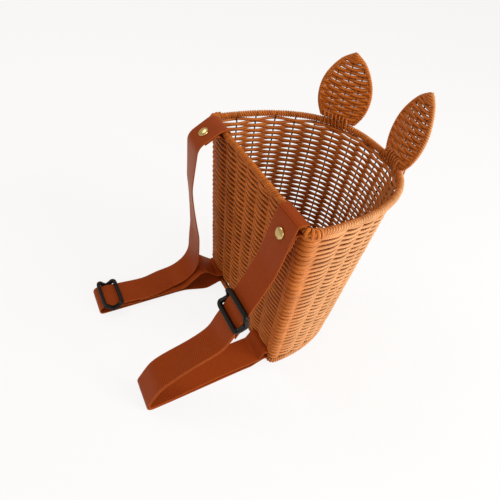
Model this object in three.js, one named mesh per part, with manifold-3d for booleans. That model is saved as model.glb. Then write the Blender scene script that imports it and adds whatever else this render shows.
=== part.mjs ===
// Rabbit-ear pack basket of woven plastic rattan with two webbing shoulder straps.
// Millimetres, +Z up. The origin is the middle of the base, on the floor.
// +X is the wearer's right as seen from behind, -Y is the flat back that the straps hang on.
import * as THREE from "three";
import Module from "manifold-3d";
import { mergeVertices } from "three/addons/utils/BufferGeometryUtils.js";

const wasm = await Module();
wasm.setup();

// Overall sizes
const rimWidth = 200;
const rimDepth = 145;
const baseWidth = 160;
const baseDepth = 115;
const backLean = 7;
const wallHeight = 200.5;
const totalHeight = 270;
const rimFullness = 2.45;
const baseFullness = 2;
const wallFlareShare = 0.86;
const cornerRadius = 6;
const clearance = 0.3;

// Rolls round the mouth and the foot
const rimRadius = 3.4;
const borderRadius = 3;
const rollSides = 8;
const socketDepth = 2.2;

// Facets of the thin rods
const socketSides = 6;
const ringSides = 4;
const spineSides = 5;
const edgeSides = 6;
const boreSides = 8;

// Stakes and weaver
const stakeRadius = 0.8;
const stakeSides = 5;
const frontStakes = 16;
const backStakeShares = [0.24, 0.48, 0.73];
const shortStakeShare = 0.73;
const ringRadius = 0.9;
const rowPitch = 2.8;
const strandHeight = 2.2;
const strandThickness = 2.2;
const rimGap = 3.2;
const liftFade = 0.26;

// Ears
const earHalfWidth = 26;
const rightEarStakes = 2;
const leftEarStakes = 3;
const rightEarLean = 12;
const leftEarLean = 5;
const earEdgeRadius = 2.3;
const earSpineRadius = 0.7;
const earSpineShares = [-0.5, 0, 0.5];
const earRowPitch = 3.2;
const earStrand = 1.9;
const earOutlineShares = [
  [0, 0.72], [0.16, 0.93], [0.34, 1], [0.54, 0.91], [0.74, 0.64], [0.9, 0.3],
];

// Lashings
const lashingStrand = 1.5;
const strandSides = 3;
const earLashingTurns = 8;
const turnsPerSpine = 3;
const cornerLashingTurns = 4;
const cornerLashingPitch = 2.2;
const coilSteps = 8;
const coilSquareness = 0.5;

// Webbing, sliders and rivets
const webWidth = 32;
const webThickness = 1.3;
const layerGap = 0.4;
const rivetedLength = 15.5;
const foldRadius = 2.2;
const sliderLength = 23;
const sliderBar = 3.4;
const sliderCoreRadius = 1.1;
const sliderRail = 3.2;
const endReach = 4;
const endLap = 3.5;
const rivetHeadRadius = 6;
const rivetHeadHeight = 2.6;
const rivetPostRadius = 1.9;
const rivetBackRadius = 4.6;
const rivetBackHeight = 1.4;
const rivetSides = 12;
const rivetCrownShares = [[1, 0.2], [0.84, 0.62], [0.5, 0.9], [0, 1]];
const rightSlotRows = 2;
const leftSlotRows = 1;
const slotReach = 4;
const floorBendShare = 0.7;
const overrun = 1;

// Each strap hangs in its own curve. Corners are [out share of reach, up share of the wall height,
// bend share of reach]. The slider lies on the straight between the upper and the lower corners,
// and the return corners lead the inner layer from the wall to the floor.
const strapPlans = {
  right: {
    reach: 128.2,
    travel: [-11, 11],
    sliderInset: 0,
    foldInset: 7.8,
    rivetShare: 0.3,
    tailUpShare: 0.96,
    sliderShare: 0.49,
    upperShares: [[0.054, 1.0075, 0.03], [0.148, 0.758, 0.5], [0.234, 0.638, 0.3]],
    lowerShares: [[0.444, 0.384, 0.17], [0.834, 0.187, 0.3], [1, 0.045, 0.06]],
    returnShares: [[0.36, 0.0117, 0.2]],
  },
  left: {
    reach: 141.2,
    travel: [-25, 0],
    sliderInset: 9.3,
    foldInset: 9.3,
    rivetShare: 0.53,
    tailUpShare: 0.985,
    sliderShare: 0.76,
    upperShares: [
      [0.031, 1.009, 0.09], [0.219, 0.933, 0.05], [0.222, 0.688, 0.42], [0.159, 0.359, 0.42],
      [0.162, 0.02, 0.3], [0.56, 0.035, 0.5],
    ],
    lowerShares: [[1, 0.055, 0.038]],
    returnShares: [[0.113, 0.145, 0.057], [0.332, 0.013, 0.14]],
  },
};

// Base mat
const matThickness = 2.4;

// Heights and half sizes that follow
const rimZ = wallHeight - rimRadius;
const lerp = (a, b, k) => a + (b - a) * k;
const levelOf = (z) => (wallFlareShare * z) / rimZ;
const halfWidthAt = (k) => lerp(baseWidth / 2 - borderRadius, rimWidth / 2 - rimRadius, k);
const depthAt = (k) => lerp(baseDepth - 2 * borderRadius, rimDepth - 2 * rimRadius, k);
const backAt = (k) => lerp(borderRadius - baseDepth / 2, rimRadius - baseDepth / 2 - backLean, k);
const cornerAt = (k) => (cornerRadius * halfWidthAt(k)) / halfWidthAt(1);

// Stations: each gives a point of the D-shaped outline at any level of the wall
const backStation = (share) => (k) => [share * halfWidthAt(k), backAt(k)];
const cornerStation = (side, angle) => (k) => [
  side * (halfWidthAt(k) - cornerAt(k) * (1 - Math.sin(angle))),
  backAt(k) + cornerAt(k) * (1 - Math.cos(angle)),
];
const diagonal = Math.PI / 4;
const cornerArc = (side, steps) =>
  Array.from({ length: steps + 1 }, (_, i) => cornerStation(side, (2 * diagonal * i) / steps));
const power = (v, fullness) => Math.sign(v) * Math.abs(v) ** (2 / fullness);
const frontPoint = (angle, k, fullness) => [
  halfWidthAt(k) * power(Math.cos(angle), fullness),
  backAt(k) + cornerAt(k) + (depthAt(k) - cornerAt(k)) * power(Math.sin(angle), fullness),
];
const frontStation = (angle) => {
  const low = frontPoint(angle, 0, baseFullness);
  const high = frontPoint(angle, 1, rimFullness);
  return (k) => [lerp(low[0], high[0], k), lerp(low[1], high[1], k)];
};

// Angles that divide the curved front into equal arc lengths at the rim
const samplesPerAngle = 40;
function frontAngles(spans) {
  const samples = spans * samplesPerAngle;
  const lengths = [0];
  let last = frontStation(0)(1);
  for (let i = 1; i <= samples; i++) {
    const here = frontStation((Math.PI * i) / samples)(1);
    lengths.push(lengths[i - 1] + Math.hypot(here[0] - last[0], here[1] - last[1]));
    last = here;
  }
  const angles = [];
  for (let s = 1; s < spans; s++) {
    const goal = (lengths[samples] * s) / spans;
    const i = lengths.findIndex((length) => length >= goal);
    const part = (goal - lengths[i - 1]) / (lengths[i] - lengths[i - 1]);
    angles.push((Math.PI * (i - 1 + part)) / samples);
  }
  return angles;
}

const spans = frontStakes + 1;
const stakes = [
  { station: backStation(0) },
  ...backStakeShares.map((share) => ({
    station: backStation(share),
    short: share === shortStakeShare,
  })),
  { station: cornerStation(1, diagonal) },
  ...frontAngles(spans).map((angle) => ({ station: frontStation(angle) })),
  { station: cornerStation(-1, diagonal) },
  ...backStakeShares.toReversed().map((share) => ({
    station: backStation(-share),
    short: share === shortStakeShare,
  })),
];
const stakeCount = stakes.length;
const rightShort = stakes.findIndex((stake) => stake.short);
const leftShort = stakeCount - rightShort;

// Closed outline with enough stations for a smooth roll
const quarterSteps = 4;
const frontSteps = 24;
const rollStations = [
  backStation(0),
  ...cornerArc(1, quarterSteps),
  ...frontAngles(frontSteps).map((angle) => frontStation(angle)),
  ...cornerArc(-1, quarterSteps).reverse(),
];

function outwardAt(station, k) {
  const count = rollStations.length;
  const [x, y] = station(k);
  let best = null;
  for (let j = 0; j < count; j++) {
    const a = rollStations[j](k);
    const b = rollStations[(j + 1) % count](k);
    const run = [b[0] - a[0], b[1] - a[1]];
    const size = Math.hypot(...run);
    const along = Math.min(Math.max(((x - a[0]) * run[0] + (y - a[1]) * run[1]) / size ** 2, 0), 1);
    const off = Math.hypot(x - a[0] - run[0] * along, y - a[1] - run[1] * along);
    if (!best || off < best.off) best = { off, normal: [run[1] / size, -run[0] / size] };
  }
  return best.normal;
}
for (const stake of stakes) stake.outward = outwardAt(stake.station, 1);
const cornerCosine = Math.cos(diagonal);
const cornerStakes = { 1: stakes[rightShort + 1], "-1": stakes[leftShort - 1] };
for (const side of [1, -1]) {
  cornerStakes[side].corner = true;
  cornerStakes[side].outward = [side * cornerCosine, -cornerCosine];
}

// Sweeps a flat profile along points; profile pairs are (across, along the held direction).
// The held direction is one vector, or a list with one for each point.
const mitreLimit = 0.5;
function sweep(points, profile, held, closed = false) {
  const count = points.length;
  const sides = profile.length;
  const position = [];
  const direction = (i) => {
    const from = points[closed ? (i + count) % count : i];
    const to = points[closed ? (i + 1 + count) % count : i + 1];
    return to.clone().sub(from).normalize();
  };
  for (let i = 0; i < count; i++) {
    const fixed = Array.isArray(held) ? held[i] : held;
    const before = direction(closed || i > 0 ? i - 1 : i);
    const after = direction(closed || i < count - 1 ? i : i - 1);
    const sideBefore = new THREE.Vector3().crossVectors(before, fixed).normalize();
    const sideAfter = new THREE.Vector3().crossVectors(after, fixed).normalize();
    const side = sideBefore.clone().add(sideAfter).normalize();
    side.divideScalar(Math.max(side.dot(sideAfter), mitreLimit));
    for (const [a, b] of profile) {
      const at = points[i].clone().addScaledVector(side, a).addScaledVector(fixed, b);
      position.push(at.x, at.y, at.z);
    }
  }
  const index = [];
  const rings = closed ? count : count - 1;
  for (let i = 0; i < rings; i++) {
    const next = (i + 1) % count;
    for (let j = 0; j < sides; j++) {
      const turn = (j + 1) % sides;
      const a = i * sides + j;
      const b = i * sides + turn;
      const c = next * sides + turn;
      const d = next * sides + j;
      index.push(a, d, b, b, d, c);
    }
  }
  if (!closed) {
    const end = (count - 1) * sides;
    for (let j = 1; j < sides - 1; j++) {
      index.push(0, j, j + 1);
      index.push(end, end + j + 1, end + j);
    }
  }
  const geometry = new THREE.BufferGeometry();
  geometry.setAttribute("position", new THREE.Float32BufferAttribute(position, 3));
  geometry.setIndex(index);
  return geometry;
}

const circle = (radius, sides, turn = 0) =>
  Array.from({ length: sides }, (_, i) => {
    const angle = turn + (2 * Math.PI * i) / sides;
    return [radius * Math.cos(angle), radius * Math.sin(angle)];
  });
const zAxis = new THREE.Vector3(0, 0, 1);
const xAxis = new THREE.Vector3(1, 0, 0);
const vector = (x, y, z) => new THREE.Vector3(x, y, z);

// Joins and cuts
const mergeTolerance = 1e-5;
function solid(geometry) {
  let plain = geometry.clone();
  plain.deleteAttribute("normal");
  plain.deleteAttribute("uv");
  plain = mergeVertices(plain, mergeTolerance);
  const vertProperties = new Float32Array(plain.attributes.position.array);
  const triVerts = new Uint32Array(plain.index.array);
  return new wasm.Manifold(new wasm.Mesh({ numProp: 3, vertProperties, triVerts }));
}
function geometryOf(manifold) {
  const mesh = manifold.getMesh();
  const geometry = new THREE.BufferGeometry();
  geometry.setAttribute("position", new THREE.Float32BufferAttribute(mesh.vertProperties, 3));
  geometry.setIndex([...mesh.triVerts]);
  return geometry;
}
const join = (shapes) => geometryOf(shapes.map(solid).reduce((all, shape) => all.add(shape)));
const cut = (shape, tools) =>
  geometryOf(tools.map(solid).reduce((left, tool) => left.subtract(tool), solid(shape)));

const basket = new THREE.Group();
function piece(name, geometry, finish) {
  const mesh = new THREE.Mesh(geometry, new THREE.MeshStandardMaterial(finish));
  mesh.name = name;
  basket.add(mesh);
  return mesh;
}
const rattan = { color: 0xc98a45, roughness: 0.55 };
const rattanDark = { color: 0x8f4e1a, roughness: 0.6 };
const wire = { color: 0x2a1a12, roughness: 0.5 };
const webbing = { color: 0x7f3214, roughness: 0.8 };
const plastic = { color: 0x1a1f22, roughness: 0.35 };
const brass = { color: 0xc9b97f, roughness: 0.3, metalness: 1 };

// Point of a stake's centre line at height z
const stakePoint = (stake, z) => {
  const [x, y] = stake.station(levelOf(z));
  return vector(x, y, z);
};

// Slots for the webbing: one over the border, one between two rows of the back wall
const borderTop = 2 * borderRadius;
const lowSlotZ = borderTop + clearance + webThickness / 2;
const ringZ = lowSlotZ + webThickness / 2 + clearance + ringRadius;
const firstRowZ = ringZ + ringRadius + clearance + strandHeight / 2;
const slotHalf = webThickness / 2 + clearance + strandHeight / 2;
const slotLift = 2 * slotHalf - rowPitch;
const rowsUnderSlot = { right: rightSlotRows, left: leftSlotRows };
const rowAt = (index, turn) => firstRowZ + rowPitch * (turn + index / stakeCount);
const highSlotZ = {
  right: rowAt(rightShort, rowsUnderSlot.right - 1) + slotHalf,
  left: rowAt(leftShort, rowsUnderSlot.left - 1) + slotHalf,
};

// How far a row is pushed up beside a slot, fading over the rows above it
function liftOf(index, turn) {
  const side = Math.abs(index - rightShort) <= 1 ? "right" : "left";
  if (side === "left" && Math.abs(index - leftShort) > 1) return 0;
  const above = turn - rowsUnderSlot[side];
  return above < 0 ? 0 : Math.max(slotLift - liftFade * above, 0);
}

// The rim's centre line by distance, from the middle of the back towards +X
const arcSamples = 24;
const samplesPerSpan = 10;
const rimSamples = [
  backStation(0),
  ...cornerArc(1, arcSamples),
  ...frontAngles(spans * samplesPerSpan).map((angle) => frontStation(angle)),
  ...cornerArc(-1, arcSamples).reverse(),
  backStation(0),
].map((station) => vector(...station(1), rimZ));
const rimDistances = [0];
for (let i = 1; i < rimSamples.length; i++) {
  rimDistances.push(rimDistances[i - 1] + rimSamples[i].distanceTo(rimSamples[i - 1]));
}
function rimAt(distance) {
  const i = rimDistances.findIndex((d) => d > distance);
  const part = (distance - rimDistances[i - 1]) / (rimDistances[i] - rimDistances[i - 1]);
  const along = rimSamples[i].clone().sub(rimSamples[i - 1]).normalize();
  return { point: rimSamples[i - 1].clone().lerp(rimSamples[i], part), along };
}
function rimDistanceNear(point) {
  let best = { off: Infinity };
  for (let i = 1; i < rimSamples.length; i++) {
    const run = new THREE.Line3(rimSamples[i - 1], rimSamples[i]);
    const part = run.closestPointToPointParameter(point, true);
    const off = run.at(part, vector(0, 0, 0)).distanceTo(point);
    if (off < best.off) best = { off, distance: lerp(rimDistances[i - 1], rimDistances[i], part) };
  }
  return best.distance;
}

// Rim roll and base border, with a socket for the end of each long stake
const longStakes = stakes.filter((stake) => !stake.short);
const rollPath = (level, z) => rollStations.map((station) => vector(...station(level), z));
const socketSize = stakeRadius + clearance;
const socketAt = (from, to) => sweep([from, to], circle(socketSize, socketSides), xAxis);
const halfSide = Math.PI / rollSides;

const underRim = rimZ - rimRadius;
for (const stake of longStakes) {
  const { point } = rimAt(rimDistanceNear(stakePoint(stake, rimZ)));
  stake.topAt = (z) => vector(point.x, point.y, z);
}
const rimRoll = sweep(rollPath(1, rimZ), circle(rimRadius, rollSides), zAxis, true);
const rimSockets = longStakes.map((stake) => {
  return socketAt(stake.topAt(underRim - overrun), stake.topAt(underRim + socketDepth + clearance));
});
piece("rim_roll", cut(rimRoll, rimSockets), rattan);

const borderProfile = circle(borderRadius / Math.cos(halfSide), rollSides, halfSide);
const borderPath = rollPath(levelOf(borderRadius), borderRadius);
const borderRoll = sweep(borderPath, borderProfile, zAxis, true);
const borderSocketFloor = borderTop - socketDepth - clearance;
const borderSockets = longStakes.map((stake) => {
  return socketAt(stakePoint(stake, borderSocketFloor), stakePoint(stake, borderTop + overrun));
});
piece("base_border", cut(borderRoll, borderSockets), rattanDark);

// Stakes, tied together by the base ring; above the last row they bend outwards into the rim
const stakeFoot = borderTop - socketDepth;
const stakeBend = underRim - rimGap;
const stakeRod = (stake, from, to) =>
  sweep([stakePoint(stake, from), stakePoint(stake, to)], circle(stakeRadius, stakeSides), xAxis);
const longRod = (stake) => {
  const points = [
    stakePoint(stake, stakeFoot),
    stakePoint(stake, stakeBend),
    stake.topAt(underRim - clearance),
    stake.topAt(underRim + socketDepth),
  ];
  const across = vector(-stake.outward[1], stake.outward[0], 0);
  return sweep(points, circle(stakeRadius, stakeSides), across);
};
const ringArcSteps = 2;
const ringStations = [
  backStation(0),
  ...cornerArc(1, ringArcSteps),
  ...frontAngles(spans).map((angle) => frontStation(angle)),
  ...cornerArc(-1, ringArcSteps).reverse(),
];
const ringPath = ringStations.map((station) => vector(...station(levelOf(ringZ)), ringZ));
const baseRing = sweep(ringPath, circle(ringRadius, ringSides), zAxis, true);
piece("stake_frame", join([baseRing, ...longStakes.map(longRod)]), wire);

// Weaver: one strand that climbs a row each turn, in front of one stake and behind the next
const weaverTop = stakeBend - strandHeight / 2;
const weaverTurns = (weaverTop - firstRowZ) / rowPitch;
const weaverSteps = Math.floor(weaverTurns * stakeCount);
const weaveOffset = stakeRadius + clearance + strandThickness / 2;
const cornerOffset = stakeRadius + 3 * clearance + strandThickness / 2 / cornerCosine;
const weaverPoint = (step) => {
  const index = step % stakeCount;
  const turn = Math.floor(step / stakeCount);
  const stake = stakes[index];
  const z = rowAt(index, turn) + liftOf(index, turn);
  const bare = stake.short && turn < rowsUnderSlot[index === rightShort ? "right" : "left"];
  const away = stake.corner ? cornerOffset : weaveOffset;
  const offset = bare ? 0 : step % 2 ? -away : away;
  const at = stakePoint(stake, z);
  return at.add(vector(stake.outward[0] * offset, stake.outward[1] * offset, 0));
};
const strandProfile = [
  [0, strandHeight / 2],
  [-strandThickness / 2, -strandHeight / 2],
  [strandThickness / 2, -strandHeight / 2],
];
const weaverPoints = Array.from({ length: weaverSteps + 1 }, (_, step) => weaverPoint(step));
piece("wall_weaver", sweep(weaverPoints, strandProfile, zAxis), rattan);

// Short stakes stand between the two places where the webbing passes through the wall
const shortTop = weaverTop + strandHeight / 2;
for (const [side, index] of [["left", leftShort], ["right", rightShort]]) {
  const foot = highSlotZ[side] + webThickness / 2 + clearance;
  piece(`${side}_short_stake`, stakeRod(stakes[index], foot, shortTop), wire);
}

// Base mat, flat underside on the floor, in the outline of the base made smaller about its middle
const matInset = borderRadius + 3 * clearance;
const matMiddle = backAt(0) + depthAt(0) / 2;
const matAcross = 1 - matInset / halfWidthAt(0);
const matAlong = 1 - (2 * matInset) / depthAt(0);
const matOutline = rollStations.map((station) => {
  const [x, y] = station(0);
  return new THREE.Vector2(x * matAcross, matMiddle + (y - matMiddle) * matAlong);
});
const mat = new THREE.ExtrudeGeometry(new THREE.Shape(matOutline), {
  depth: matThickness,
  bevelEnabled: false,
});
piece("base_mat", mat, rattanDark);

// Winds a strand round the rim; each turn crosses over the top and under the bottom at one
// distance and moves on along the inner side. The upper half can be taller than the lower.
function coil(middle, turns, pitch, topHeight) {
  const reach = rimRadius + 2 * clearance + lashingStrand / 2;
  const points = [];
  const held = [];
  const tuckedSteps = coilSteps / 4;
  for (let i = 0; i <= turns * coilSteps - tuckedSteps; i++) {
    const turn = Math.floor(i / coilSteps);
    const part = (i % coilSteps) / coilSteps;
    const onward = Math.min(Math.max(2 * part - 1, 0), 1);
    const { point, along } = rimAt(middle + pitch * (turn + onward - turns / 2 + 1 / 2));
    const out = vector(along.y, -along.x, 0);
    const angle = Math.PI / 2 - 2 * Math.PI * part;
    const raised = Math.sin(angle) > 0 && topHeight > reach;
    const height = raised ? topHeight : reach;
    const squareness = raised ? coilSquareness : 1;
    const sideways = reach * Math.sign(Math.cos(angle)) * Math.abs(Math.cos(angle)) ** squareness;
    const upwards = height * Math.sign(Math.sin(angle)) * Math.abs(Math.sin(angle)) ** squareness;
    points.push(point.addScaledVector(out, sideways).addScaledVector(zAxis, upwards));
    held.push(along.negate());
  }
  return sweep(points, circle(lashingStrand / 2, strandSides), held);
}

// Corner lashings sit just in front of each back corner, clear of the corner stake
const cornerRun = halfWidthAt(1) - cornerAt(1) + cornerAt(1) * 2 * diagonal;
const rimLength = rimDistances.at(-1);
const lashingMiddle = cornerRun + (cornerLashingTurns * cornerLashingPitch) / 2;
const plainTop = rimRadius + 2 * clearance + lashingStrand / 2;
const cornerMiddles = { right: lashingMiddle, left: rimLength - lashingMiddle };
for (const [side, middle] of Object.entries(cornerMiddles)) {
  const lashing = coil(middle, cornerLashingTurns, cornerLashingPitch, plainTop);
  piece(`${side}_corner_lashing`, lashing, rattanDark);
}

// Ears: an edge hoop with three spines, a strand woven to and fro across them, and a lashing
// that ties the foot of the hoop to the rim over one stake
const earHeight = totalHeight - wallHeight;
const earOutline = new THREE.CatmullRomCurve3(
  [
    ...earOutlineShares.map(([up, out]) => vector(out, up, 0)),
    vector(0, 1, 0),
    ...earOutlineShares.toReversed().map(([up, out]) => vector(-out, up, 0)),
  ],
  false,
  "centripetal",
);
const earEdgeSteps = 24;
const samplesPerEdgeStep = 8;
const earSamples = earOutline
  .getSpacedPoints(earEdgeSteps * samplesPerEdgeStep)
  .filter((p) => p.x >= 0);
const earWidthAt = (share) => {
  const near = earSamples.reduce((a, b) => (Math.abs(b.y - share) < Math.abs(a.y - share) ? b : a));
  return near.x * earHalfWidth;
};
const frontMiddle = (stakeCount - 1) / 2;
const ears = {
  right: { stake: stakes[frontMiddle + 1 - rightEarStakes], lean: rightEarLean },
  left: { stake: stakes[frontMiddle + leftEarStakes], lean: leftEarLean },
};

for (const [side, { stake, lean }] of Object.entries(ears)) {
  const middle = rimDistanceNear(stakePoint(stake, rimZ));
  const { point, along } = rimAt(middle);
  const across = along.clone();
  const out = vector(along.y, -along.x, 0);
  const bladeHeight = earHeight - 2 * earEdgeRadius - clearance;
  const up = vector(0, 0, bladeHeight).addScaledVector(out, lean).normalize();
  const normal = new THREE.Vector3().crossVectors(across, up).normalize();
  const spineSpacing = earHalfWidth * Math.max(...earSpineShares);
  const lashingPitch = spineSpacing / turnsPerSpine;
  const lashingEnd = (lashingPitch * (earLashingTurns - 1)) / 2;
  const bow = rimAt(middle + lashingEnd).point.sub(point).dot(out);
  const footPoint = point.clone().addScaledVector(out, bow / 2);
  footPoint.z += rimRadius + clearance + earEdgeRadius;
  const place = (u, v, w = 0) =>
    footPoint.clone().addScaledVector(across, u).addScaledVector(up, v).addScaledVector(normal, w);

  const edge = earOutline.getSpacedPoints(earEdgeSteps).map((p) => {
    return place(p.x * earHalfWidth, p.y * bladeHeight);
  });
  const hoop = sweep(edge, circle(earEdgeRadius, edgeSides, Math.PI / edgeSides), normal, true);
  const spines = earSpineShares.map((share) => {
    const u = share * earHalfWidth;
    const upper = earSamples.filter((p) => p.y > 1 / 2);
    const head = upper.find((p) => p.x * earHalfWidth <= Math.abs(u)) ?? upper.at(-1);
    const ends = [place(u, 0), place(u, head.y * bladeHeight)];
    return sweep(ends, circle(earSpineRadius, spineSides), normal);
  });
  piece(`${side}_ear_frame`, join([hoop, ...spines]), rattan);

  const footRow = earEdgeRadius + 3 * clearance + lashingStrand + earStrand / 2;
  const inset = earEdgeRadius + clearance + earStrand / 2;
  const over = earSpineRadius + clearance + earStrand / 2;
  const beside = earSpineRadius + clearance + earStrand / 2;
  const rows = Math.floor((bladeHeight - footRow - inset) / earRowPitch);
  const spinePlaces = earSpineShares.map((share) => share * earHalfWidth);
  const sideSpine = Math.max(...spinePlaces);
  const shortReach = sideSpine - beside - clearance;
  const rowReach = (row) => {
    const v = footRow + row * earRowPitch;
    const narrow = Math.min(earWidthAt(v / bladeHeight), earWidthAt((v + inset) / bladeHeight));
    const full = narrow - inset - clearance;
    return full > sideSpine + beside + earStrand / 2 ? full : Math.min(full, shortReach);
  };
  const strand = [];
  for (let row = 0; row <= rows && rowReach(row) > beside + clearance; row++) {
    const way = row % 2 ? -1 : 1;
    const reach = rowReach(row);
    const turnReach = rowReach(row + 1) > shortReach ? reach : Math.min(reach, shortReach);
    const start = -way * reach;
    const end = way * turnReach;
    const crossed = spinePlaces.filter((u) => Math.abs(u) < (u * way > 0 ? turnReach : reach));
    if (row % 2) crossed.reverse();
    for (const u of [start, ...crossed, end]) {
      const index = spinePlaces.indexOf(u);
      const face = index < 0 ? 0 : (index + row) % 2 ? over : -over;
      strand.push(place(u, footRow + row * earRowPitch, face));
    }
  }
  const strandRound = circle(earStrand / 2, strandSides);
  piece(`${side}_ear_weave`, sweep(strand, strandRound, normal), rattan);

  const lashingTop = rimRadius + 3 * clearance + 2 * earEdgeRadius + lashingStrand / 2;
  const lashing = coil(middle, earLashingTurns, lashingPitch, lashingTop);
  piece(`${side}_ear_lashing`, lashing, rattanDark);
}

// Webbing path: corners {y, z, bend, x} joined by straight runs with round bends
const bendStep = Math.PI / 6;
function roundedPath(corners) {
  const points = [];
  const flat = (corner) => new THREE.Vector2(corner.y, corner.z);
  corners.forEach((corner, i) => {
    const here = flat(corner);
    if (i === 0 || i === corners.length - 1) {
      points.push(vector(corner.x, corner.y, corner.z));
      return;
    }
    const back = flat(corners[i - 1]).sub(here).normalize();
    const on = flat(corners[i + 1]).sub(here).normalize();
    const turn = Math.PI - Math.acos(Math.min(Math.max(back.dot(on), -1), 1));
    const tangent = corner.bend * Math.tan(turn / 2);
    const start = here.clone().addScaledVector(back, tangent);
    const halfway = back.clone().add(on).normalize();
    const middle = here.clone().addScaledVector(halfway, corner.bend / Math.cos(turn / 2));
    const spoke = start.clone().sub(middle);
    const way = Math.sign(back.x * on.y - back.y * on.x) * -1;
    const steps = Math.max(1, Math.ceil(turn / bendStep));
    for (let j = 0; j <= steps; j++) {
      const angle = (way * turn * j) / steps;
      const at = spoke.clone().rotateAround(new THREE.Vector2(), angle).add(middle);
      points.push(vector(corner.x, at.x, at.y));
    }
  });
  return points;
}

// The same corners moved sideways by a distance, towards the outer side where it is positive
function beside(corners, distance) {
  return corners.map((corner, i) => {
    const last = corners.length - 1;
    const from = corners[Math.max(i - 1, 0)];
    const to = corners[Math.min(i + 1, last)];
    const before = new THREE.Vector2(corner.y - from.y, corner.z - from.z).normalize();
    const after = new THREE.Vector2(to.y - corner.y, to.z - corner.z).normalize();
    if (i === 0) before.copy(after);
    if (i === last) after.copy(before);
    const sideBefore = new THREE.Vector2(before.y, -before.x);
    const sideAfter = new THREE.Vector2(after.y, -after.x);
    const side = sideBefore.clone().add(sideAfter).normalize();
    side.divideScalar(side.dot(sideAfter));
    const bend = corner.bend + Math.sign(before.x * after.y - before.y * after.x) * distance;
    return { ...corner, y: corner.y + side.x * distance, z: corner.z + side.y * distance, bend };
  });
}

const webProfile = [
  [webThickness / 2, -webWidth / 2],
  [webThickness / 2, webWidth / 2],
  [-webThickness / 2, webWidth / 2],
  [-webThickness / 2, -webWidth / 2],
];
const band = (corners) => sweep(roundedPath(corners), webProfile, xAxis);
const layerStep = webThickness + layerGap;
const rimY = backAt(1);
const wrap = rimRadius + clearance + webThickness / 2;
const webRimX = halfWidthAt(1) - cornerAt(1) - webWidth / 2 - clearance;
const wallInner = backAt(levelOf(ringZ)) + cornerOffset + strandThickness / 2;
const wallOuter = backAt(levelOf(ringZ)) - weaveOffset - strandThickness / 2;
const innerY = wallInner + clearance + webThickness / 2;
const outerY = wallOuter - slotReach;
const besideCorner = stakeRadius + strandThickness / 2 + clearance;
const anchorX = cornerStakes[1].station(0)[0] - besideCorner - webWidth / 2;
const floorZ = webThickness / 2;

// Slider: two bent rails carry two raised end bars and a low middle bar
const barLow = webThickness / 2 + clearance;
const foldTop = -(webThickness + clearance);
const coreN = foldTop - webThickness / 2 - clearance - sliderCoreRadius;
const foldReach = sliderCoreRadius + clearance + webThickness / 2;
const railInner = webWidth / 2 + layerGap;
function sliderShape() {
  const half = sliderLength / 2;
  const high = barLow + sliderBar;
  const low = coreN - sliderCoreRadius;
  const rail = new THREE.Shape([
    new THREE.Vector2(-half, barLow),
    new THREE.Vector2(-half + sliderBar, barLow),
    new THREE.Vector2(-sliderBar / 2, low),
    new THREE.Vector2(sliderBar / 2, low),
    new THREE.Vector2(half - sliderBar, barLow),
    new THREE.Vector2(half, barLow),
    new THREE.Vector2(half, high),
    new THREE.Vector2(half - sliderBar, high),
    new THREE.Vector2(sliderBar / 2, coreN + sliderCoreRadius),
    new THREE.Vector2(-sliderBar / 2, coreN + sliderCoreRadius),
    new THREE.Vector2(-half + sliderBar, high),
    new THREE.Vector2(-half, high),
  ]);
  const rails = [railInner, -railInner - sliderRail].map((x) => {
    const shape = new THREE.ExtrudeGeometry(rail, { depth: sliderRail, bevelEnabled: false });
    return shape.rotateY(-Math.PI / 2).translate(x + sliderRail, 0, 0);
  });
  const span = 2 * railInner + sliderRail;
  const bars = [-1, 1].map((end) => {
    const bar = new THREE.BoxGeometry(span, sliderBar, sliderBar);
    return bar.translate(0, barLow + sliderBar / 2, end * (half - sliderBar / 2));
  });
  const core = new THREE.CylinderGeometry(sliderCoreRadius, sliderCoreRadius, span, boreSides);
  core.rotateZ(Math.PI / 2).translate(0, coreN, 0);
  return join([...rails, ...bars, core]);
}

// Rivet: a domed head on a post, and a back cap that the post enters
const rivetBack = -(layerStep + webThickness / 2 + clearance);
function rivetShape() {
  const low = barLow;
  const crown = rivetCrownShares.map(([out, up]) => {
    return new THREE.Vector2(rivetHeadRadius * out, low + rivetHeadHeight * up);
  });
  return new THREE.LatheGeometry(
    [
      new THREE.Vector2(0, rivetBack - rivetBackHeight),
      new THREE.Vector2(rivetPostRadius, rivetBack - rivetBackHeight),
      new THREE.Vector2(rivetPostRadius, low),
      new THREE.Vector2(rivetHeadRadius, low),
      ...crown,
    ],
    rivetSides,
  );
}
function rivetBackShape() {
  const bore = rivetPostRadius + clearance;
  const low = rivetBack - rivetBackHeight;
  return new THREE.LatheGeometry(
    [
      new THREE.Vector2(bore, low),
      new THREE.Vector2(rivetBackRadius - clearance, low),
      new THREE.Vector2(rivetBackRadius, low + clearance),
      new THREE.Vector2(rivetBackRadius, rivetBack),
      new THREE.Vector2(bore, rivetBack),
      new THREE.Vector2(bore, low),
    ],
    rivetSides,
  );
}

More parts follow.
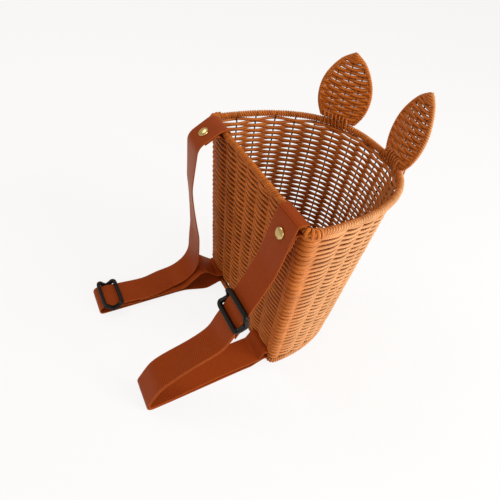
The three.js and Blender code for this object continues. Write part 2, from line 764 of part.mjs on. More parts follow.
for (const [side, plan] of Object.entries(strapPlans)) {
  const sign = side === "right" ? 1 : -1;
  const sliderAt = sign * (webRimX - plan.sliderInset);
  const foldAt = sign * (webRimX - plan.foldInset);
  const rimX = sign * webRimX;
  const slotX = sign * anchorX;
  const cornersAt = (shares, places) => shares.map(([out, up, bend], i) => ({
    y: rimY - out * plan.reach,
    z: up * wallHeight,
    bend: bend * plan.reach,
    x: places(i),
  }));
  const upperCount = plan.upperShares.length;
  const hanging = [
    ...cornersAt(plan.upperShares, (i) => (i < upperCount - 1 ? rimX : sliderAt)),
    ...cornersAt(plan.lowerShares, (i) => (i ? foldAt : sliderAt)),
  ];
  const fold = hanging.at(-1);
  const straightStart = hanging[upperCount - 1];
  const straightEnd = hanging[upperCount];
  const highZ = highSlotZ[side];
  const main = [
    ...hanging,
    { y: fold.y, z: floorZ, bend: fold.bend * floorBendShare, x: fold.x },
    { y: outerY - 2 * lowSlotZ, z: floorZ, bend: lowSlotZ, x: slotX },
    { y: outerY, z: lowSlotZ, bend: lowSlotZ / 2, x: slotX },
    { y: innerY, z: lowSlotZ, bend: foldRadius, x: slotX },
    { y: innerY, z: highZ, bend: foldRadius, x: slotX },
    { y: outerY, z: highZ, bend: foldRadius, x: slotX },
  ];

  // Tail: behind the outer layer, under the rim, then up and over it
  const [crest, shoulder] = hanging;
  const fall = new THREE.Vector2(shoulder.y - crest.y, shoulder.z - crest.z).normalize();
  const topZ = plan.tailUpShare * wallHeight;
  const topY = crest.y + (fall.x / fall.y) * (topZ - crest.z) + layerStep / Math.abs(fall.y);
  const drop = Math.atan2(topZ - rimZ, topY - rimY);
  const apart = Math.hypot(topZ - rimZ, topY - rimY);
  const touch = (drop > 0 ? drop - 2 * Math.PI : drop) + Math.acos(wrap / apart);
  const halfTouch = (touch + Math.PI / 2) / 2;
  const underZ = rimZ - wrap;
  const tail = [
    { y: topY + fall.x * rivetedLength, z: topZ + fall.y * rivetedLength, x: rimX },
    { y: topY, z: topZ, bend: foldRadius, x: rimX },
    { y: rimY + wrap * Math.tan(halfTouch), z: underZ, bend: wrap, x: rimX },
    { y: rimY + wrap, z: underZ, bend: wrap, x: rimX },
    { y: rimY + wrap, z: rimZ + wrap, bend: wrap, x: rimX },
  ];

  // Return layer: out of the upper slot, inside the outer layer, to just short of the slider
  const line = new THREE.Vector2(straightEnd.y - straightStart.y, straightEnd.z - straightStart.z);
  const lineLength = line.length();
  line.normalize();
  const outward = new THREE.Vector2(line.y, -line.x);
  const on = (s, n) => ({
    y: straightStart.y + line.x * (plan.sliderShare * lineLength + s) + outward.x * n,
    z: straightStart.z + line.y * (plan.sliderShare * lineLength + s) + outward.y * n,
    x: straightStart.x,
  });
  const inner = beside(main, -layerStep);
  const startGap = endReach + Math.max(...plan.travel.map((t) => t * sign)) + 2 * clearance;
  const returnEnd = on(sign * startGap, -layerStep);
  const fromWall = cornersAt(plan.returnShares, () => slotX);
  const outerCorners = sign > 0
    ? inner.slice(upperCount, hanging.length + 1).reverse()
    : [inner[upperCount - 1]];
  const returning = [...fromWall, ...outerCorners, returnEnd];
  const webCorners = [...tail, ...main, ...returning];

  const rivetAt = new THREE.Vector2(crest.y, crest.z).lerp(
    new THREE.Vector2(shoulder.y, shoulder.z),
    plan.rivetShare,
  );
  const frameOf = (direction) => {
    const z = vector(0, direction.x, direction.y);
    const y = new THREE.Vector3().crossVectors(z, xAxis);
    return new THREE.Quaternion().setFromRotationMatrix(new THREE.Matrix4().makeBasis(xAxis, y, z));
  };
  const setOn = (name, shape, at, x, direction, finish) => {
    const mesh = piece(name, shape, finish);
    mesh.position.set(x, at.x, at.y);
    mesh.quaternion.copy(frameOf(direction));
  };

  const bore = new THREE.CylinderGeometry(
    rivetPostRadius + clearance,
    rivetPostRadius + clearance,
    2 * (layerStep + 2 * overrun),
    boreSides,
  );
  bore.applyQuaternion(frameOf(fall)).translate(rimX, rivetAt.x, rivetAt.y);
  piece(`${side}_strap`, cut(band(webCorners), [bore]), webbing);

  setOn(`${side}_rivet`, rivetShape(), rivetAt, rimX, fall, brass);
  setOn(`${side}_rivet_back`, rivetBackShape(), rivetAt, rimX, fall, brass);

  const seat = on(0, 0);
  const seatAt = new THREE.Vector2(seat.y, seat.z);
  setOn(`${side}_slider`, sliderShape(), seatAt, seat.x, line, plastic);

  const tailN = foldTop - webThickness / 2 - layerGap - webThickness - clearance;
  const endCorners = [
    [endReach, foldTop, 0],
    [-foldReach, foldTop, foldReach],
    [-foldReach, coreN - foldReach, foldReach],
    [foldReach, coreN - foldReach, foldReach],
    [2 * foldReach + webThickness, tailN, foldReach],
    [startGap + endLap, tailN, 0],
  ].map(([s, n, bend]) => ({ ...on(sign * s, n), bend }));
  piece(`${side}_strap_end`, band(endCorners), webbing);
}

export default basket;
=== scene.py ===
"""Woven pack basket with two ears and two webbing shoulder straps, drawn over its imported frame."""

import math

import bpy
import numpy as np
from mathutils import Matrix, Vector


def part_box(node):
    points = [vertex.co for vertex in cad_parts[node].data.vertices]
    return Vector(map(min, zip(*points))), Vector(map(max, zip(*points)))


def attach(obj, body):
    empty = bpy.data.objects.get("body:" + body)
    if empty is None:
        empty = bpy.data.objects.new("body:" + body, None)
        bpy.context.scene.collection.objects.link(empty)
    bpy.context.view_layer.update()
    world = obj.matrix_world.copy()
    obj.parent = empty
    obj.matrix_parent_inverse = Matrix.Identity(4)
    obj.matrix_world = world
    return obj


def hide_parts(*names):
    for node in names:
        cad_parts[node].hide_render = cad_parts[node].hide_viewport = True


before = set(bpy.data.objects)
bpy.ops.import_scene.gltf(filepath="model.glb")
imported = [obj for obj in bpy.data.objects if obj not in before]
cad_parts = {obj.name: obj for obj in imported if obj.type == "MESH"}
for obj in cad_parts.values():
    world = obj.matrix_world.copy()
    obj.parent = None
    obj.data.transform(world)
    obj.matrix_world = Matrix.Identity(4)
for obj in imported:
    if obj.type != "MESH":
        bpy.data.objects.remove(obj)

bl_info = {
    "name": "Woven pack basket",
    "version": (1, 0, 0),
    "blender": (4, 5, 0),
    "location": "3D View > Sidebar > Basket",
    "description": "Builds a woven basket with ears, webbing straps, sliders and rivets",
    "category": "Add Mesh",
}

MM = 0.001
UP = np.array([0.0, 0.0, 1.0])
ACROSS = np.array([1.0, 0.0, 0.0])
MIDDLE = np.array([0.0, 12 * MM, 0.0])
SIDES = {"right": 1, "left": -1}
CLEARANCE = 0.3 * MM
# Height below the rim over which the wall leans out to meet it
RIM_GAP = 3.2 * MM


def linear(hex_colour):
    """Linear red, green, blue and alpha of an sRGB hex colour."""
    part = np.array([int(hex_colour[i : i + 2], 16) for i in (1, 3, 5)]) / 255
    part = np.where(part <= 0.04045, part / 12.92, ((part + 0.055) / 1.055) ** 2.4)
    return (*part.tolist(), 1.0)


def length(name, text, millimetres):
    return bpy.props.FloatProperty(
        name=name, description=text, default=millimetres * MM, min=0, precision=5,
        subtype="DISTANCE", unit="LENGTH",
    )


def share(name, text, value):
    return bpy.props.FloatProperty(name=name, description=text, default=value, precision=3)


def shade(name, text, hex_colour):
    return bpy.props.FloatVectorProperty(
        name=name, description=text, default=linear(hex_colour), size=4, min=0, max=1,
        subtype="COLOR",
    )


def extent(node, axis):
    """Size of a CAD node along one axis, in millimetres."""
    low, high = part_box(node)
    return (high[axis] - low[axis]) / MM


class BasketSizes(bpy.types.PropertyGroup):
    """Sizes of the woven basket and its ears"""

    rim_width: length("Rim width", "Width of the mouth over its roll", extent("rim_roll", 0))
    rim_depth: length("Rim depth", "Depth of the mouth over its roll", extent("rim_roll", 1))
    rim_roll: length("Rim roll", "Thickness of the wound rim", extent("rim_roll", 2))
    foot_width: length("Foot width", "Width of the base over its border", 160)
    foot_depth: length("Foot depth", "Depth of the base over its border", 115)
    foot_roll: length("Foot roll", "Thickness of the base border", extent("base_border", 2))
    back_lean: length("Back lean", "How far the back leans out from foot to rim", 7)
    wall_height: length("Wall height", "Height of the rim above the floor", 200.5)
    total_height: length("Total height", "Height of the ear tips above the floor", 270)
    corner_radius: length("Corner radius", "Radius of the two back corners at the rim", 6)
    rim_fullness: share("Rim fullness", "Power of the front's curve at the rim", 2.45)
    foot_fullness: share("Foot fullness", "Power of the front's curve at the foot", 2)
    wall_flare: share("Wall flare", "Share of the rim's spread that the wall reaches", 0.86)
    front_stakes: bpy.props.IntProperty(
        name="Front stakes", description="Stakes between the back corners", default=16, min=1
    )
    stake_wire: length("Stake wire", "Thickness of an upright stake", 1.6)
    row_pitch: length("Row pitch", "Height from one row of the weave to the next", 2.8)
    strand: length("Strand", "Thickness of the woven strand", 3.2)
    winding: length("Winding", "Width of one turn of the strand wound round the rim", 2.6)
    winding_depth: length("Winding depth", "Depth of the groove between two turns", 1.2)
    ear_half_width: length("Ear half width", "Half the widest part of an ear", 26)
    right_ear_lean: length("Right ear lean", "How far the right ear leans out", 12.5)
    left_ear_lean: length("Left ear lean", "How far the left ear leans out", 7.5)
    ear_edge: length("Ear edge", "Thickness of an ear's wound edge", 4.6)
    ear_pitch: length("Ear row pitch", "Height from one row of an ear to the next", 3.2)
    ear_strand: length("Ear strand", "Thickness of the strand woven across an ear", 3.4)


class StrapSizes(bpy.types.PropertyGroup):
    """Sizes of the webbing, its sliders and its rivets"""

    width: length("Webbing width", "Width of a strap", 32)
    thickness: length("Webbing thickness", "Thickness of a strap", 1.3)
    layer_gap: length("Layer gap", "Air between two layers of webbing", 0.4)
    fold_radius: length("Fold radius", "Radius of a tight fold", 2.2)
    riveted_length: length("Riveted length", "Length of the tail behind the outer layer", 15.5)
    slider_length: length("Slider length", "Size of a slider along its strap", 23)
    slider_bar: length("Slider bar", "Thickness of a slider's end bars", 4.2)
    slider_core: length("Slider core", "Thickness of a slider's middle bar", 2.2)
    slider_rail: length("Slider rail", "Thickness of a slider's side rails", 4.0)
    rivet_head: length("Rivet head", "Width of a rivet's domed head", 10.8)
    rivet_dome: length("Rivet dome", "Height of a rivet's domed head", 2.6)
    rivet_cap: length("Rivet cap", "Width of the cap behind a rivet", 9.2)


class Finishes(bpy.types.PropertyGroup):
    """Colours of the materials"""

    rattan_light: shade("Rattan light", "Pale streaks of the strand", "#DC8838")
    rattan_mid: shade("Rattan", "Main colour of the strand", "#CC7228")
    rattan_deep: shade("Rattan deep", "Dark streaks of the strand", "#A04A14")
    # painted light: the paler colour painted on the strand where it faces up and out towards the
    # lamps
    rattan_painted_light: shade("Rattan faded", "The strand where daylight bleached it", "#DEAA78")
    wire: shade("Stake wire", "Coating of the stakes", "#2E1B12")
    wire_scuffed: shade("Scuffed wire", "Coating where it is scuffed", "#4A2D1C")
    webbing: shade("Webbing", "Warp of the straps", "#A04619")
    webbing_deep: shade("Webbing deep", "Weft of the straps", "#803212")
    # pale threads, and the painted highlight along the straps' rounded edges
    webbing_threads_and_highlight: shade("Webbing pale", "Worn threads and edges of the straps", "#B0602C")
    plastic: shade("Slider", "Moulded sliders", "#08090A")
    plastic_worn: shade("Worn slider", "Sliders where they rub", "#101315")
    brass: shade("Brass", "Plating of the rivets", "#D8C68C")
    brass_dull: shade("Dull brass", "Tarnish on the rivets", "#A88F55")
    floor: shade("Floor", "Floor and backdrop", "#F6F6F5")


# Shapes

CORNER_POINTS = 41
FRONT_POINTS = 2401
OUTLINE_POINTS = 1200
WINDING_STEPS = 6
DOME_STEPS = np.array([0.02, 0.12, 0.35, 0.65])


def unit(v):
    return v / np.maximum(np.linalg.norm(v, axis=-1, keepdims=True), 1e-12)


def even(steps, total=2 * math.pi):
    """Even steps round a closed length, from 0."""
    return np.arange(steps) * total / steps


def signed_power(v, power):
    """The sign of v times its size raised to a power."""
    return np.sign(v) * np.abs(v) ** power


def smooth(k):
    """Eases from 0 to 1: k squared times three minus two k."""
    return k * k * (3 - 2 * k)


def spline(points, samples):
    """Natural cubic spline through points, by chord length: each span is the cubic whose second
    derivatives meet its neighbours', found from one tridiagonal system."""
    points = np.asarray(points, float)
    knot = np.r_[0, np.cumsum(np.linalg.norm(np.diff(points, axis=0), axis=1))]
    gap = np.diff(knot)
    n = len(points)
    system = np.eye(n)
    right = np.zeros_like(points)
    inner = np.arange(1, n - 1)
    system[inner, inner - 1] = gap[:-1]
    system[inner, inner] = 2 * (gap[:-1] + gap[1:])
    system[inner, inner + 1] = gap[1:]
    right[1:-1] = 6 * np.diff(np.diff(points, axis=0) / gap[:, None], axis=0)
    curve = np.linalg.solve(system, right)
    at = np.linspace(0, knot[-1], samples)
    i = np.clip(np.searchsorted(knot, at, "right") - 1, 0, n - 2)
    a, b, h = (at - knot[i])[:, None], (knot[i + 1] - at)[:, None], gap[i][:, None]
    return (
        curve[i] * b**3 / (6 * h) + curve[i + 1] * a**3 / (6 * h)
        + (points[i] / h - curve[i] * h / 6) * b
        + (points[i + 1] / h - curve[i + 1] * h / 6) * a
    )


def directions(points):
    """Unit tangents of an open route, weighted for the uneven distances between its points."""
    apart = np.maximum(np.linalg.norm(np.diff(points, axis=0), axis=1), 1e-9)
    return unit(np.gradient(points, np.r_[0, np.cumsum(apart)], axis=0))


class Track:
    """A route in space, read by distance. Its side is tangent x held and its lift side x tangent,
    so a section's first value goes along the side and its second along the lift."""

    def __init__(self, points, held, closed=False):
        points = np.asarray(points, float)
        self.closed = closed
        ring = np.concatenate([points, points[:1]]) if closed else points
        self.mark = np.r_[0, np.cumsum(np.linalg.norm(np.diff(ring, axis=0), axis=1))]
        self.length = self.mark[-1]
        if closed:
            tangent = unit(np.roll(points, -1, 0) - np.roll(points, 1, 0))
        else:
            tangent = directions(points)
        side = unit(np.cross(tangent, held))
        if closed:
            tangent, side = (np.concatenate([v, v[:1]]) for v in (tangent, side))
        self.table = np.concatenate([ring, tangent, side], 1)

    def at(self, distance):
        """Point, tangent, side and lift at an array of distances."""
        d = np.asarray(distance, float)
        d = np.mod(d, self.length) if self.closed else d
        row = np.stack([np.interp(d, self.mark, c) for c in self.table.T], -1)
        tangent = unit(row[..., 3:6])
        side = unit(row[..., 6:9])
        return row[..., :3], tangent, side, np.cross(side, tangent)


class Plan:
    """The D-shaped plan of the basket at every height.

    Each station holds a point of the outline at the foot and one at the rim, (x0, y0, x1, y1).
    The wall at a level between 0 and 1 is the straight blend of the two, so one table by distance
    along the rim gives the whole wall."""

    def __init__(self, s):
        roll, foot = s.rim_roll / 2, s.foot_roll / 2
        self.rim_z = s.wall_height - roll
        self.under = self.rim_z - roll
        self.bend = self.under - RIM_GAP
        self.flare = s.wall_flare
        self.half = np.array([s.foot_width / 2 - foot, s.rim_width / 2 - roll])
        self.deep = np.array([s.foot_depth - s.foot_roll, s.rim_depth - s.rim_roll])
        self.back = np.array([foot - s.foot_depth / 2, roll - s.foot_depth / 2 - s.back_lean])
        self.corner = s.corner_radius * self.half / self.half[1]
        turn = np.linspace(0, math.pi / 2, CORNER_POINTS)
        angle = np.linspace(0, math.pi, FRONT_POINTS)[1:-1]
        wide, deep = np.cos(angle), np.sin(angle)
        outlines = []
        for half, far, back, corner, fullness in zip(
            self.half, self.deep, self.back, self.corner, (s.foot_fullness, s.rim_fullness)
        ):
            x = half - corner * (1 - np.sin(turn))
            right = np.stack([x, back + corner * (1 - np.cos(turn))], 1)
            y = back + corner + (far - corner) * deep ** (2 / fullness)
            front = np.stack([half * signed_power(wide, 2 / fullness), y], 1)
            middle = np.array([[0, back]])
            outlines.append(
                np.concatenate([middle, right, front, right[::-1] * [-1, 1], middle])
            )
        rim = outlines[1]
        self.station = np.concatenate(outlines, 1)
        self.mark = np.r_[0, np.cumsum(np.linalg.norm(np.diff(rim, axis=0), axis=1))]
        self.length = self.mark[-1]
        self.corner_start = self.half[1] - self.corner[1]
        self.front_start = self.mark[len(turn)]
        step = unit(np.gradient(rim, axis=0))
        self.normal = np.stack([step[:, 1], -step[:, 0], 0 * step[:, 0]], 1)

    def read(self, table, distance):
        d = np.mod(distance, self.length)
        return np.stack([np.interp(d, self.mark, c) for c in table.T], -1)

    def on_level(self, distance, level, z):
        row = self.read(self.station, distance)
        level = np.asarray(level)[..., None]
        xy = row[..., :2] + (row[..., 2:] - row[..., :2]) * level
        return np.concatenate([xy, np.broadcast_to(z, xy.shape[:-1])[..., None]], -1)

    def at(self, distance, z):
        """A point of the wall. Its level is flare * z / rim height up to the bend, and eases from
        there to 1 under the rim, where the wall leans out to meet the roll."""
        z = np.broadcast_to(z, np.shape(distance))
        plain = self.flare * z / self.rim_z
        k = np.clip((z - self.bend) / (self.under - self.bend), 0, 1)
        return self.on_level(distance, plain + (1 - plain) * smooth(k), z)

    def rim(self):
        """The middle line of the rim's roll."""
        d = even(OUTLINE_POINTS, self.length)
        return Track(self.on_level(d, np.ones(len(d)), self.rim_z), UP, closed=True)

    def near(self, distance):
        """Distance of the rim's point nearest to a stake's straight line at the rim's height."""
        point = self.on_level(np.array([distance]), [self.flare], self.rim_z)[0, :2]
        return self.mark[np.argmin(np.hypot(*(self.station[:, 2:] - point).T))]

    def out(self, distance):
        return unit(self.read(self.normal, distance))

    def stakes(self, back_shares, front_stakes):
        """Distance of each stake: from the middle of the back round by +X."""
        back = np.array(back_shares) * self.half[1]
        corner = self.corner_start + self.corner[1] * math.pi / 4
        run = self.length - 2 * self.front_start
        front = self.front_start + run * np.arange(1, front_stakes + 1) / (front_stakes + 1)
        return np.concatenate(
            [[0], back, [corner], front, [self.length - corner], self.length - back[::-1]]
        )


def oval(across, up, sides, power=1.0):
    """Section a = across * cos, b = up * sin, each raised to a power: 1 gives an oval, and less
    than 1 a square with soft corners."""
    angle = even(sides)
    a, b = signed_power(np.cos(angle), power), signed_power(np.sin(angle), power)
    return np.stack([across * a, up * b], -1)


def disc(width, sides=8):
    """Round section of a width."""
    return oval(width / 2, width / 2, sides)


def carried(path, section, held, closed=False, ends=0.0, dark=1):
    """A section carried along a path: point = path + side * a + lift * b. Open ends are domed:
    over the length called ends the section shrinks as the square root of one minus x squared.
    The groove value, painted shade with some dirt where neighbouring strands touch, rises as the
    fourth power across the section's side called dark."""
    path = np.asarray(path, float)
    size = np.ones(len(path))
    if ends:
        x, n = DOME_STEPS, len(DOME_STEPS)
        first, last = unit(path[0] - path[1]), unit(path[-1] - path[-2])
        head = path[0] + first * ends * (1 - x)[:, None]
        tail = path[-1] + last * ends * (1 - x[::-1])[:, None]
        dome = np.sqrt(1 - (1 - x) ** 2)
        size = np.r_[dome, size, dome[::-1]]
        if np.ndim(held) > 1:
            held = np.concatenate([held[:1].repeat(n, 0), held, held[-1:].repeat(n, 0)])
        path = np.concatenate([head, path, tail])
    track = Track(path, held, closed)
    mark = track.mark[: len(path)]
    side = track.table[: len(path), 6:9]
    lift = np.cross(side, track.table[: len(path), 3:6])
    a, b = section[:, 0] * size[:, None], section[:, 1] * size[:, None]
    rings = path[:, None] + side[:, None] * a[..., None] + lift[:, None] * b[..., None]
    # painted shade with some dirt, darkest at the section's edges where strands touch
    groove = 0.6 * (section[:, dark] / np.abs(section[:, dark]).max()) ** 4
    lay = np.stack([mark[:, None] + 0 * a, a, b, groove + 0 * a], -1)
    return rings, lay


def wound(track, radius, depth, pitch, sides, slant, dips=None):
    """A roll wound with strand: radius = R - depth * (1 - sqrt(1 - u * u)), where u runs from -1
    to 1 across each turn. Each turn leans, as its distance moves by slant * pitch * sin(angle).
    The strand's own length is read round the roll, as radius * (cos + 0.7 * sin) of the angle."""
    turns = round(track.length / pitch)
    pitch = track.length / turns
    d = even(turns * WINDING_STEPS, track.length)
    angle = even(sides)
    u = 2 * np.mod(np.arange(len(d)) / WINDING_STEPS, 1) - 1
    at = d[:, None] + slant * pitch * np.sin(angle)
    point, _, side, lift = track.at(at)
    size = (radius - depth * (1 - np.sqrt(1 - u**2)))[:, None] + 0 * angle
    # painted shade: darker towards the groove between two turns
    groove = np.abs(u[:, None]) ** 3 + 0 * angle
    if dips is not None:
        dip = dips(at, angle)
        size = size - dip
        # painted shade in the notches as well
        groove = np.maximum(groove, dip / dip.max())
    across, up = size * np.cos(angle), size * np.sin(angle)
    along = radius * (np.cos(angle) + 0.7 * np.sin(angle)) + 0 * size
    rings = point + side * across[..., None] + lift * up[..., None]
    return rings, np.stack([along, d[:, None] + 0 * size, size, groove], -1)


def painted_light(rings):
    """How much painted light each point takes, 0 to 1: most where a strand faces up or away from the
    basket's middle, which paints its lit sides paler, and little on the back wall, which keeps the
    deeper colour of its shade. Value = clip(0.9 * out + 0.45 * up + 0.1) * clip(0.1 + (y + 58 mm) /
    30 mm)."""
    facing = unit(rings - rings.mean(-2, keepdims=True))
    away = unit((rings - MIDDLE) * [1, 1, 0])
    side = 0.9 * (facing * away).sum(-1) + 0.45 * facing[..., 2] + 0.1
    return np.clip(side, 0, 1) * np.clip(0.1 + (rings[..., 1] / MM + 58) / 30, 0, 1)


def linked(name, data):
    made = bpy.data.objects.new(name, data)
    bpy.context.scene.collection.objects.link(made)
    return made


class Skin:
    """Gathers rings of points into one mesh: quads between rings and a face on each open end."""

    def __init__(self):
        self.points, self.faces, self.lay, self.painted_light = [], [], [], []
        self.count = 0

    def add(self, rings, lay, closed=False):
        grid = np.arange(rings[..., 0].size).reshape(rings.shape[:2]) + self.count
        here = grid if closed else grid[:-1]
        on = np.roll(grid, -1, 0) if closed else grid[1:]
        quads = np.stack([here, on, np.roll(on, -1, 1), np.roll(here, -1, 1)], -1)
        self.faces.append(quads.reshape(-1, 4))
        if not closed:
            self.faces += [grid[:1], grid[-1:, ::-1]]
        self.points.append(rings.reshape(-1, 3))
        # share of painted light at each point, read by the rattan's shader
        self.painted_light.append(painted_light(rings).ravel())
        self.lay.append(lay.reshape(-1, 4))
        self.count += grid.size
        return self

    def piece(self, name, body, slot, *nodes):
        """Makes the object in its slot's material. It rides on its body and stands for its CAD
        nodes."""
        points = np.concatenate(self.points)
        loops = np.concatenate([f.ravel() for f in self.faces])
        sizes = np.concatenate([np.full(len(f), f.shape[1]) for f in self.faces])
        starts = np.r_[0, np.cumsum(sizes)[:-1]]
        lay = np.concatenate(self.lay)
        mesh = bpy.data.meshes.new(name)
        mesh.vertices.add(len(points))
        mesh.vertices.foreach_set("co", points.astype(np.float32).ravel())
        mesh.loops.add(len(loops))
        mesh.loops.foreach_set("vertex_index", loops.astype(np.int32))
        mesh.polygons.add(len(sizes))
        mesh.polygons.foreach_set("loop_start", starts.astype(np.int32))
        mesh.update(calc_edges=True)
        if mesh.validate():
            raise RuntimeError(f"{name} has faces that can't be drawn")
        for title, kind, field, values in (
            ("lay", "FLOAT_VECTOR", "vector", lay[:, :3]),
            ("groove", "FLOAT", "value", lay[:, 3]),
            ("painted_light", "FLOAT", "value", np.concatenate(self.painted_light)),
        ):
            stored = mesh.attributes.new(title, kind, "POINT")
            stored.data.foreach_set(field, values.astype(np.float32).ravel())
        mesh.shade_smooth()
        mesh.materials.append(material(SURFACES[slot]))
        made = linked(name, mesh)
        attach(made, body)
        if nodes:
            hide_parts(*nodes)


# Materials

def node(tree, kind, inputs=None, **settings):
    """Adds a node with its settings, and its values or links by input name or number."""
    made = tree.nodes.new(kind)
    for key, value in settings.items():
        setattr(made, key, value)
    for key, value in (inputs or {}).items():
        if isinstance(value, bpy.types.NodeSocket):
            tree.links.new(value, made.inputs[key])
        else:
            made.inputs[key].default_value = value
    return made


def material(paint):
    """The material named after a paint function, which draws its shader the first time."""
    made = bpy.data.materials.get(paint.__name__)
    if not made:
        made = bpy.data.materials.new(paint.__name__)
        made.use_nodes = True
        tree = made.node_tree
        tree.nodes.clear()
        shader = paint(tree, bpy.context.scene.basket_finishes)
        node(tree, "ShaderNodeOutputMaterial", {"Surface": shader.outputs[0]})
    return made


def mixed(tree, factor, a, b):
    inputs = {0: factor, 6: a, 7: b}
    return node(tree, "ShaderNodeMix", inputs, data_type="RGBA", clamp_factor=True).outputs[2]


def ranged(tree, value, low, high, to_low=0.0, to_high=1.0):
    inputs = {0: value, 1: low, 2: high, 3: to_low, 4: to_high}
    return node(tree, "ShaderNodeMapRange", inputs, clamp=True).outputs[0]


def computed(tree, operation, *values):
    return node(tree, "ShaderNodeMath", dict(enumerate(values)), operation=operation).outputs[0]


def noise(tree, vector, size, detail=2.0, scale=(1, 1, 1)):
    """Noise whose features are about the given size, in metres, stretched by one over scale."""
    where = node(tree, "ShaderNodeMapping", {"Vector": vector, "Scale": scale}).outputs[0]
    inputs = {"Vector": where, "Scale": 1 / size, "Detail": detail}
    return node(tree, "ShaderNodeTexNoise", inputs).outputs[0]


def attribute(tree, name, output="Fac"):
    return node(tree, "ShaderNodeAttribute", attribute_name=name).outputs[output]


def place(tree):
    return node(tree, "ShaderNodeTexCoord").outputs["Object"]


def bumped(tree, height, strength, distance):
    inputs = {"Strength": strength, "Distance": distance, "Height": height}
    return node(tree, "ShaderNodeBump", inputs).outputs[0]


def principled(tree, inputs):
    return node(tree, "ShaderNodeBsdfPrincipled", inputs)


def extruded_polyethylene_rattan(tree, look):
    """Extruded polyethylene strand, drawn through a die: pale and dark streaks run along it, its
    waxy skin shines softly, and long stretches are a little lighter or darker. Painted light makes
    its lit sides paler, and painted shade darkens it towards its grooves."""
    lay = attribute(tree, "lay", "Vector")
    # streaks 0.35 mm wide and about 12 mm long
    streak = noise(tree, lay, 0.35 * MM, 3.0, (0.03, 1, 1))
    # stretches of about 30 mm
    stretch = noise(tree, lay, 30 * MM, 1.0, (1, 3, 3))
    # patches of about 45 mm over the whole basket
    patch = noise(tree, place(tree), 45 * MM)
    deep = mixed(tree, ranged(tree, streak, 0.3, 0.7), look.rattan_deep, look.rattan_mid)
    pale = mixed(tree, ranged(tree, streak, 0.42, 0.8), deep, look.rattan_light)
    # painted light: paler where a strand faces up or outward towards the lamps, deeper on the back
    # wall, which is in shade
    painted_lit_share = ranged(tree, attribute(tree, "painted_light"), 0, 1, 0, 0.85)
    colour = mixed(tree, painted_lit_share, pale, look.rattan_painted_light)
    tone = ranged(tree, stretch, 0.3, 0.7, 0.86, 1.1)
    tone = computed(tree, "MULTIPLY", tone, ranged(tree, patch, 0.3, 0.7, 0.92, 1.06))
    # painted shade with some dirt: the colour falls to 0.42 towards the grooves and where strands
    # touch
    shaded = ranged(tree, attribute(tree, "groove"), 0.2, 1, 1, 0.42)
    tone = computed(tree, "MULTIPLY", tone, shaded)
    colour = node(tree, "ShaderNodeVectorMath", {0: colour, "Scale": tone}, operation="SCALE")
    return principled(tree, {
        "Base Color": colour.outputs[0], "Roughness": ranged(tree, streak, 0.2, 0.8, 0.34, 0.5),
        "Normal": bumped(tree, streak, 0.25, 0.1 * MM), "IOR": 1.5,
        "Specular IOR Level": 0.3, "Specular Tint": linear("#FFE2C4"),
    })


def pvc_coated_steel_wire(tree, look):
    """Steel wire in a dark PVC coat, smooth with faint scuffs."""
    scuff = noise(tree, attribute(tree, "lay", "Vector"), 1.5 * MM, 4.0, (0.3, 1, 1))
    return principled(tree, {
        "Base Color": mixed(tree, scuff, look.wire, look.wire_scuffed),
        "Roughness": ranged(tree, scuff, 0.3, 0.7, 0.42, 0.6),
    })


def woven_polyester_webbing(tree, look):
    """Polyester webbing woven as a tight twill: fine slanting ribs, a satin face that catches the
    light where it bends, and a firmer woven edge along each side, whose rounded rim carries a
    painted highlight in the paler colour."""
    lay = attribute(tree, "lay", "Vector")
    # ribs really 0.7 mm apart, drawn 1.1 mm apart so that they show
    apart, slope = 1.1 * MM, math.radians(58)
    ribs = []
    for lean in (slope, -slope):
        inputs = {"Vector": lay, "Rotation": (0, 0, lean)}
        turned_lay = node(tree, "ShaderNodeMapping", inputs).outputs[0]
        inputs = {
            "Vector": turned_lay, "Scale": 1 / (apart * math.pi), "Distortion": 0.6, "Detail": 1.0
        }
        wave = node(
            tree, "ShaderNodeTexWave", inputs, wave_type="BANDS", bands_direction="X"
        )
        ribs.append(wave.outputs["Fac"])
    weave = computed(tree, "MAXIMUM", *ribs)
    thread = noise(tree, lay, 0.4 * MM, 2.0, (0.2, 1, 1))
    worn = noise(tree, place(tree), 25 * MM, 3.0)
    # painted highlight: the rounded rim of each edge is mixed up to 0.3 towards the paler colour
    across = node(tree, "ShaderNodeSeparateXYZ", {0: lay}).outputs[2]
    edge = ranged(tree, computed(tree, "ABSOLUTE", across), 14.4 * MM, 15.6 * MM, 0, 0.3)
    rib = ranged(tree, weave, 0.35, 0.95, 0.3, 0.8)
    colour = mixed(tree, rib, look.webbing_deep, look.webbing)
    colour = mixed(tree, ranged(tree, thread, 0.45, 0.85, 0, 0.3), colour, look.webbing_threads_and_highlight)
    colour = mixed(tree, ranged(tree, worn, 0.5, 0.8, 0, 0.25), colour, look.webbing_deep)
    return principled(tree, {
        "Base Color": mixed(tree, edge, colour, look.webbing_threads_and_highlight), "Roughness": 0.38,
        "Normal": bumped(tree, weave, 0.2, 0.12 * MM),
        "Specular IOR Level": 0.2, "Specular Tint": linear("#F09048"),
        "Sheen Weight": 0.06, "Sheen Roughness": 0.35, "Sheen Tint": linear("#FF9A50"),
    })


def moulded_acetal(tree, look):
    """Black acetal from a mould: even colour, satin skin with a very fine grain."""
    grain = noise(tree, place(tree), 0.5 * MM, 4.0)
    wear = noise(tree, place(tree), 6 * MM, 3.0)
    return principled(tree, {
        "Base Color": mixed(tree, wear, look.plastic, look.plastic_worn),
        "Roughness": ranged(tree, wear, 0.3, 0.7, 0.26, 0.4),
        "Normal": bumped(tree, grain, 0.15, 0.05 * MM), "Specular IOR Level": 0.22,
    })


